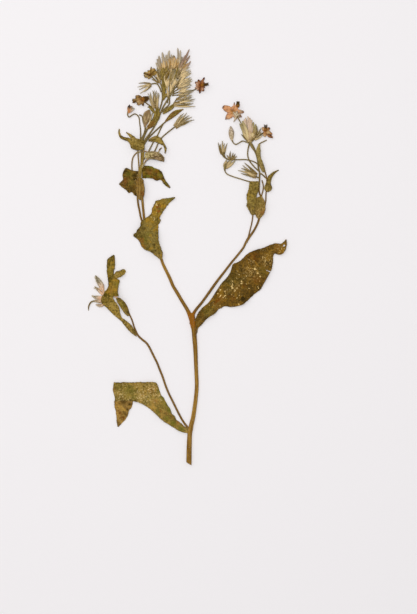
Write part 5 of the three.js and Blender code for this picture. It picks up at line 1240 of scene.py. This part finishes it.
# --------------------------------------------------------------------------- buds of the low shoot
# Young buds in woolly calyces at the end of the low side shoot, faded to pink-straw, and a hooked
# stalk that has dried beside them.
bud_skin = hairy_material("woolly_bud", "e2b088", "f8d8ba", "585640", "b2aa90", "a4885e", 0.25, 0.75)
low_solid = Solid("low_cyme")
LOW_LIMBS = [
    [[[-45.6, -29.2, 0.9], [-51, -26.8, 1], [-55, -26.6, 1.2], [-58, -26.6, 1.4]], 0.9],
    [[[-55.6, -26.4, 1.6], [-57.4, -23.4, 1.4], [-58.6, -20, 3.4], [-60.8, -16.4, 3.2],
      [-62.9, -12.8, 0.4]], 0.9],
    [[[-56.4, -26.6, 1.4], [-59, -24.6, 2], [-61, -22.6, 1.9], [-63.4, -20.4, 0.4]], 0.7],
    [[[-56.6, -26.8, 1.4], [-59.6, -28.2, 2.6], [-62.6, -27.8, 2.2], [-65.4, -26.7, 0.5]], 0.8],
    [[[-56.4, -27.4, 1.4], [-58.6, -30, 2.6], [-61, -30.4, 2.4], [-64.2, -30.2, 0.6]], 0.6],
    [[[-56.6, -28.2, 1.4], [-57.4, -32.6, 2], [-59.6, -33.4, 2.2], [-62.6, -32.8, 0.5]], 0.5],
]
LOW_SEPALS = [(-63.3, -13.6), (-60.6, -14.4), (-64, -21.4)]  # their tips
HOOK = [[-62.4, -30.1, 0.9], [-65.6, -31, 1], [-67.2, -33.6, 1], [-67.6, -36.8, 0.4]]
low_buds, low_stalks, low_bristles = Bundle(), Bundle(), Bundle()
for knots, grey in LOW_LIMBS:
    limb = Limb(knots, low_solid, 0.6, 0.5)
    low_buds.add_limb(limb, 12, grey, 0.05)
    low_bristles.bristle_limb(limb, 10, 1.1, draw)
for tip in LOW_SEPALS:
    limb = sepal((-57.6, -22.6), tip, 1.2, low_solid, draw)
    low_buds.add_limb(limb, 8, 0.9, 0.1)
    low_bristles.bristle_limb(limb, 8, 1.0, draw)
limb = Limb(HOOK, low_solid, 0.8, 0.5)
low_stalks.add_limb(limb, 10, 0.7, ribs=5, rib=0.06)
low_bristles.bristle_limb(limb, 6, 0.7, draw)
low_buds.build("low_shoot_buds", bud_skin, "calyx", "low_cyme")
low_stalks.build("low_shoot_hook", stalk_skin, "calyx", "low_cyme")
low_bristles.build("low_shoot_bristles", calyx_bristle_skin, "calyx", "low_cyme", smooth=False)


# ------------------------------------------------------------------------------------- the flowers
# Wheel-shaped corollas of five pointed petals grown together, blue when fresh and dried to brown,
# orange and dark purple, round a dark cone of five anthers.
PETAL_SOLID = 0.62  # thickness of a corolla's solid
PETAL_THIN = 0.16
PETAL_RINGS = 14
PETAL_EASING = 8  # rounds of smoothing of a corolla's heights
PETAL_TEAR = 0.1
SHOULDER = 0.58  # where a petal is widest, from the throat to its tip


def petal_material(name, heart, blade, rim, rim_start, wash, streaking):
    """The skin of a dried corolla: its heart, the streaked blades, their dark tips and faded parts"""
    material, shade = new_material(name)
    place = shade.place()
    reach = shade.attribute("reach")
    fine = shade.mottle(place, 0.7, 4)
    clouds = shade.mottle(place, 1.8, 4)
    streaks = shade.streaks((0.45, 0.45, 0.3), 4)
    skin = (reach + 0.4 * fine).between(0.3, 0.75).mix(tone(heart), tone(blade))
    skin = ((1 - streaks.between(0.38, 0.52)) * streaking).mix(skin, tone(rim))
    skin = (streaks.between(0.55, 0.68) * 0.35).mix(skin, tone("e8b980"))
    skin = (shade.attribute("wash") * (0.5 + streaks)).mix(skin, tone(wash))
    skin = (shade.attribute("tip") + 0.5 * clouds).between(rim_start, rim_start + 0.3).mix(skin, tone(rim))
    skin = ((reach + 0.3 * fine).between(0.98, 1.16) * 0.6).mix(skin, tone(rim))
    scorched = (clouds * 0.6 + streaks * 0.4).between(0.52, 0.68).mix(tone(rim), tone(heart))
    skin = shade.attribute("dusk").mix(skin, scorched)
    return finish_material(material, skin, 0.7 + 0.2 * fine, streaks * 0.6 + fine * 0.4, 0.15)


anther_skin, shade = new_material("dry_anther")
streaks = shade.streaks((2, 2, 0.6))
skin = streaks.between(0.42, 0.62).mix(tone("38260f"), tone("705426"))
base = streaks.between(0.4, 0.6).mix(tone("6a3c10"), tone("b47426"))
skin = shade.attribute("along").between(0.05, 0.55).mix(base, skin)
finish_material(anther_skin, skin, 0.75, streaks, 0.1)


def petal_outline(throat, petals, web, seed):
    """The edge of a corolla all round. petals are [x and y of the tip, width], and web is how far
    neighbours are grown together."""
    at = lambda turn, far: (throat[0] + math.cos(turn) * far, throat[1] + math.sin(turn) * far)
    spokes = sorted((math.atan2(y - throat[1], x - throat[0]), math.hypot(x - throat[0], y - throat[1]), w)
                    for x, y, w in petals)
    outline = []
    for i, (turn, length, width) in enumerate(spokes):
        half = math.atan2(width / 2, length * SHOULDER)
        for way, (other_turn, other_length, _) in ((-1, spokes[i - 1]), (1, spokes[(i + 1) % len(spokes)])):
            gap = way * (other_turn - turn)
            gap += 2 * math.pi if gap <= 0 else 0
            notch = min(length, other_length) * web * max(0.15, 0.62 - 0.22 * (gap - 0.7))
            side = [at(turn + way * gap / 2, notch),
                    at(turn + way * min(half, gap * 0.42), length * SHOULDER),
                    at(turn + way * 0.35 * half, length * 0.86), at(turn, length)]
            outline += [*smooth_line(side[::-way], 12)[:-1]]
    outline = np.array(outline)
    torn = 1 + PETAL_TEAR * (noise_at(outline, 1.3, seed + 4) + 0.7 * noise_at(outline, 0.6, seed + 7))
    return throat + (outline - throat) * torn[:, None]


def corolla(name, node, material, throat, petals, seed, dusk, wash, web):
    """Petals grown together: rings of points from the throat out to the edge, crumpled outwards"""
    throat = np.array(throat, float)
    outline = petal_outline(throat, petals, web, seed)
    count = len(outline)
    shares = np.linspace(0, 1, PETAL_RINGS + 1)[1:]
    place = np.vstack([throat[None], *[throat + (outline - throat) * share for share in shares]])
    reach = np.concatenate([[0], np.repeat(shares, count)])
    z = Solid(node).heights(place) - PETAL_SOLID / 2
    grid = z[1:].reshape(PETAL_RINGS, count)
    for _ in range(PETAL_EASING):
        grid = eased(grid)
        grid = 0.25 * np.roll(grid, 1, 1) + 0.5 * grid + 0.25 * np.roll(grid, -1, 1)
    z = np.concatenate([[grid[0].mean()], grid.ravel()])
    angle = np.arctan2(place[:, 1] - throat[1], place[:, 0] - throat[0])
    crumple = noise_at(place, 1.1, seed) * 0.22 + noise_at(place, 2.6, seed + 2) * 0.3
    z = z + (crumple + 0.05 * np.sin(angle * 30)) * reach
    z = np.maximum(z, PETAL_THIN / 2 + LEAST_LEVEL)
    faces = [(0, 1 + i, 1 + (i + 1) % count) for i in range(count)]
    for ring in range(PETAL_RINGS - 1):
        for i in range(count):
            a, b = 1 + ring * count + i, 1 + ring * count + (i + 1) % count
            faces.append((a, a + count, b + count, b))
    piece = new_piece(name, np.column_stack([place, z]), faces, material)
    far = np.hypot(place[:, 0] - throat[0], place[:, 1] - throat[1])
    add_layer(piece.data, "reach", reach)
    add_layer(piece.data, "tip", far / far.max())
    add_layer(piece.data, "dusk", spotted(place, dusk))
    add_layer(piece.data, "wash", spotted(place, wash))
    add_layer(piece.data, "grain", np.column_stack([9 * np.cos(angle), 9 * np.sin(angle), far]))
    make_card(piece, PETAL_THIN)
    settle(piece, node)


def anther_cone(name, node, base, tip, width, splay):
    """Five narrow anthers side by side, their points together, or apart for a high splay"""
    solid = Solid(node)
    base, tip = np.array(base, float), np.array(tip, float)
    way = tip - base
    aside = unit(np.array([way[1], -way[0]]))
    cone = Bundle()
    for k in (-2, -1, 0, 1, 2):
        off = aside * width * 0.19 * k
        knots = [[*(base + off * 0.7), 0.3 * width], [*(base + way * 0.35 + off), 0.38 * width],
                 [*(base + way * 0.7 + off * (0.47 + 0.5 * splay)), 0.26 * width],
                 [*(base + way * (1 + (0.1 * splay - 0.08) * abs(k)) + off * splay), 0.1 + 0.16 * splay]]
        cone.add_limb(Limb(knots, solid, 1.1, 0.35, lift=-0.16 * abs(k)), 10, 0.5)
    cone.build(name, anther_skin, "anther", node)


def flower(number, throat, petals, skin, dusk=(), wash=(), web=1.0, cone=None):
    """A corolla and its anthers. skin is heart, blade and rim colours, where the rim starts, the faded
    colour and how streaked it is; dusk and wash are dark and faded spots (x, y, reach, amount); cone
    is base, tip, width and splay."""
    material = petal_material(f"petals_{number}", *skin)
    corolla(f"flower_{number}_petals", f"corolla_{number}", material, throat, petals, number, dusk, wash, web)
    if cone:
        anther_cone(f"flower_{number}_anthers", f"anther_cone_{number}", *cone)


# the upper left one, olive-brown
flower(
    1, (-25.2, 123.8),
    petals=[(-30.2, 124.9, 5), (-29.8, 122.2, 4.4), (-27, 120.9, 4.2), (-24.7, 129.3, 1.8),
            (-22.3, 128.1, 4.4), (-20.7, 125.9, 3.8)],
    skin=("6e4c1a", "a68440", "442c0e", 1.05, "e4ca92", 0.9), web=1.6,
    cone=((-25.2, 123.8), (-29.6, 124.4), 0.8, 0.3),
    dusk=[(-29.5, 124.9, 0.5, 0.7), (-28.3, 124.4, 0.5, 0.9), (-27, 123.8, 0.9, 1), (-25.6, 123.3, 1.2, 1),
          (-29.8, 123.1, 0.4, 0.7), (-28.7, 122.6, 0.4, 0.8), (-27.5, 122, 0.4, 0.7), (-24.7, 129, 0.8, 1),
          (-23.4, 125.6, 0.9, 0.7), (-22, 127, 0.5, 0.6)],
    wash=[(-29.2, 125.8, 0.5, 0.8), (-27.6, 125.3, 0.5, 0.8), (-26.2, 124.8, 0.5, 0.6),
          (-29.6, 123.9, 0.45, 1), (-28.4, 123.4, 0.45, 1), (-27.2, 122.8, 0.45, 1),
          (-26, 122.2, 0.45, 0.8), (-29.2, 121.9, 0.7, 0.9), (-27.6, 121.1, 0.7, 0.8)])
# the one at the left of the head, with a large dark cone
flower(
    2, (-31.2, 106.4),
    petals=[(-38.1, 106, 6.4), (-35.6, 109.4, 6), (-34.4, 103.2, 6), (-30.1, 102.3, 2.2), (-26.1, 108, 6)],
    skin=("9c5a14", "9c7840", "3c2412", 1.1, "c6a878", 0.95), web=1.55,
    cone=((-31.2, 106.4), (-26.3, 108.8), 2.4, 0.5),
    dusk=[(-27.8, 107.8, 2.6, 1), (-30, 103.2, 1.2, 1), (-35.9, 108.6, 0.8, 0.9), (-34.2, 103.8, 0.9, 0.6),
          (-37.2, 106, 0.8, 0.6), (-32.6, 108.6, 1, 0.7), (-35, 105.8, 0.7, 0.5)],
    wash=[(-33.4, 105.4, 1.5, 0.7), (-36.4, 107.3, 0.8, 0.7)])
# the red-brown one on its long stalk at the right of the left head
flower(
    4, (8.8, 116.4),
    petals=[(5.2, 118.9, 4), (7.2, 120.6, 4), (5.3, 116.3, 4), (5.1, 114.4, 4), (6.4, 112.9, 3.4),
            (8.2, 110.9, 2.6), (11.3, 112.4, 4), (11.9, 115.2, 3), (11.6, 118.8, 3), (11.6, 122.2, 2)],
    skin=("94500c", "aa7044", "472014", 0.94, "d4ae90", 0.6), web=1.5,
    cone=((8.8, 116.4), (14.1, 117.4), 1.8, 1.2),
    dusk=[(5.4, 119.3, 1, 1.3), (6.3, 120.3, 1, 1.3), (7.5, 120.4, 1, 1.2), (8.4, 119.4, 0.8, 0.8),
          (11.6, 121.8, 1.4, 1.1), (8.1, 111.4, 1.3, 1.2), (8.3, 113.2, 0.9, 1), (8.6, 114.8, 1, 0.8),
          (11.4, 112.5, 1.3, 1), (10.9, 116.9, 1.3, 1.1), (9, 117, 1.5, 0.6), (10.6, 119.2, 1, 0.6),
          (5.1, 114, 0.6, 0.4)],
    wash=[(6.1, 117.5, 1.1, 1), (5.9, 115.6, 1, 1), (6.5, 113.9, 1, 0.9), (10.2, 113.9, 0.8, 0.7)])
# the crumpled one at the right of the right head
flower(
    6, (53.2, 85.2),
    petals=[(58, 80.8, 3.8), (56.2, 87.8, 4), (50.8, 88, 3.4), (58, 83.2, 2.8), (52.4, 81.2, 3.6)],
    skin=("c08440", "bc8450", "3c1c14", 1, "dcbc88", 0.8), web=1.4,
    cone=((53.2, 85.2), (53.1, 89.2), 1.6, 1.7),
    dusk=[(52.7, 85.8, 0.8, 1), (55.9, 87.4, 0.9, 1), (57.9, 80.9, 1, 1), (57.7, 83, 0.8, 0.9),
          (53.8, 83.4, 0.6, 1), (55, 83.1, 0.6, 1), (56.2, 82.6, 0.6, 0.9), (53, 87.8, 0.6, 0.6)],
    wash=[(55, 84.4, 1.2, 0.9), (51.2, 86.8, 1, 0.6), (52.2, 82.2, 1.2, 0.7)])
# the large peach-coloured one above the right head
flower(
    5, (31.4, 98.6),
    petals=[(23.9, 102.2, 6.2), (25.9, 93.6, 5.6), (34.4, 104, 5.6), (31.9, 105.3, 1.6), (38.4, 98.6, 4.6),
            (36.6, 95, 4.4), (33.6, 93.4, 3.8)],
    skin=("b87a20", "d89c6c", "664438", 1.12, "b8b094", 0.45), web=1.15,
    cone=((34.2, 101.6), (34.4, 105.6), 2.2, 1),
    dusk=[(24.3, 102, 0.9, 1), (26.1, 94.4, 0.9, 0.8), (31.9, 104.6, 1, 0.9), (30.4, 99.8, 1.2, 0.7),
          (37.8, 98.4, 1.4, 0.7), (36.4, 95.2, 1.2, 0.8), (35, 96.8, 1, 0.6)],
    wash=[(36.8, 99.3, 1.4, 0.7), (32.6, 97, 1.6, 1), (27.4, 94.2, 1.2, 0.3), (35.4, 95.2, 1.2, 0.7)])
# the torn one at the far left
flower(
    3, (-40.1, 98.2),
    petals=[(-39.5, 103.6, 2.8), (-37.7, 102.5, 2.4), (-36.1, 101.2, 2.2)],
    skin=("cc8448", "cc9668", "38302a", 1.1, "bcb29c", 0.5), web=1.4,
    dusk=[(-39.4, 102.6, 1.7, 1.3)],
    wash=[(-36.6, 100.9, 1.6, 1.2), (-38, 99.2, 0.9, 0.7)])
# faded petals in the crown of the left head
flower(
    7, (-9, 129.6),
    petals=[(-13.4, 136.8, 4), (-9.4, 137, 4), (-4.4, 136, 4)],
    skin=("bc8e4c", "d8ae74", "86745c", 0.8, "d4b88c", 0.6))
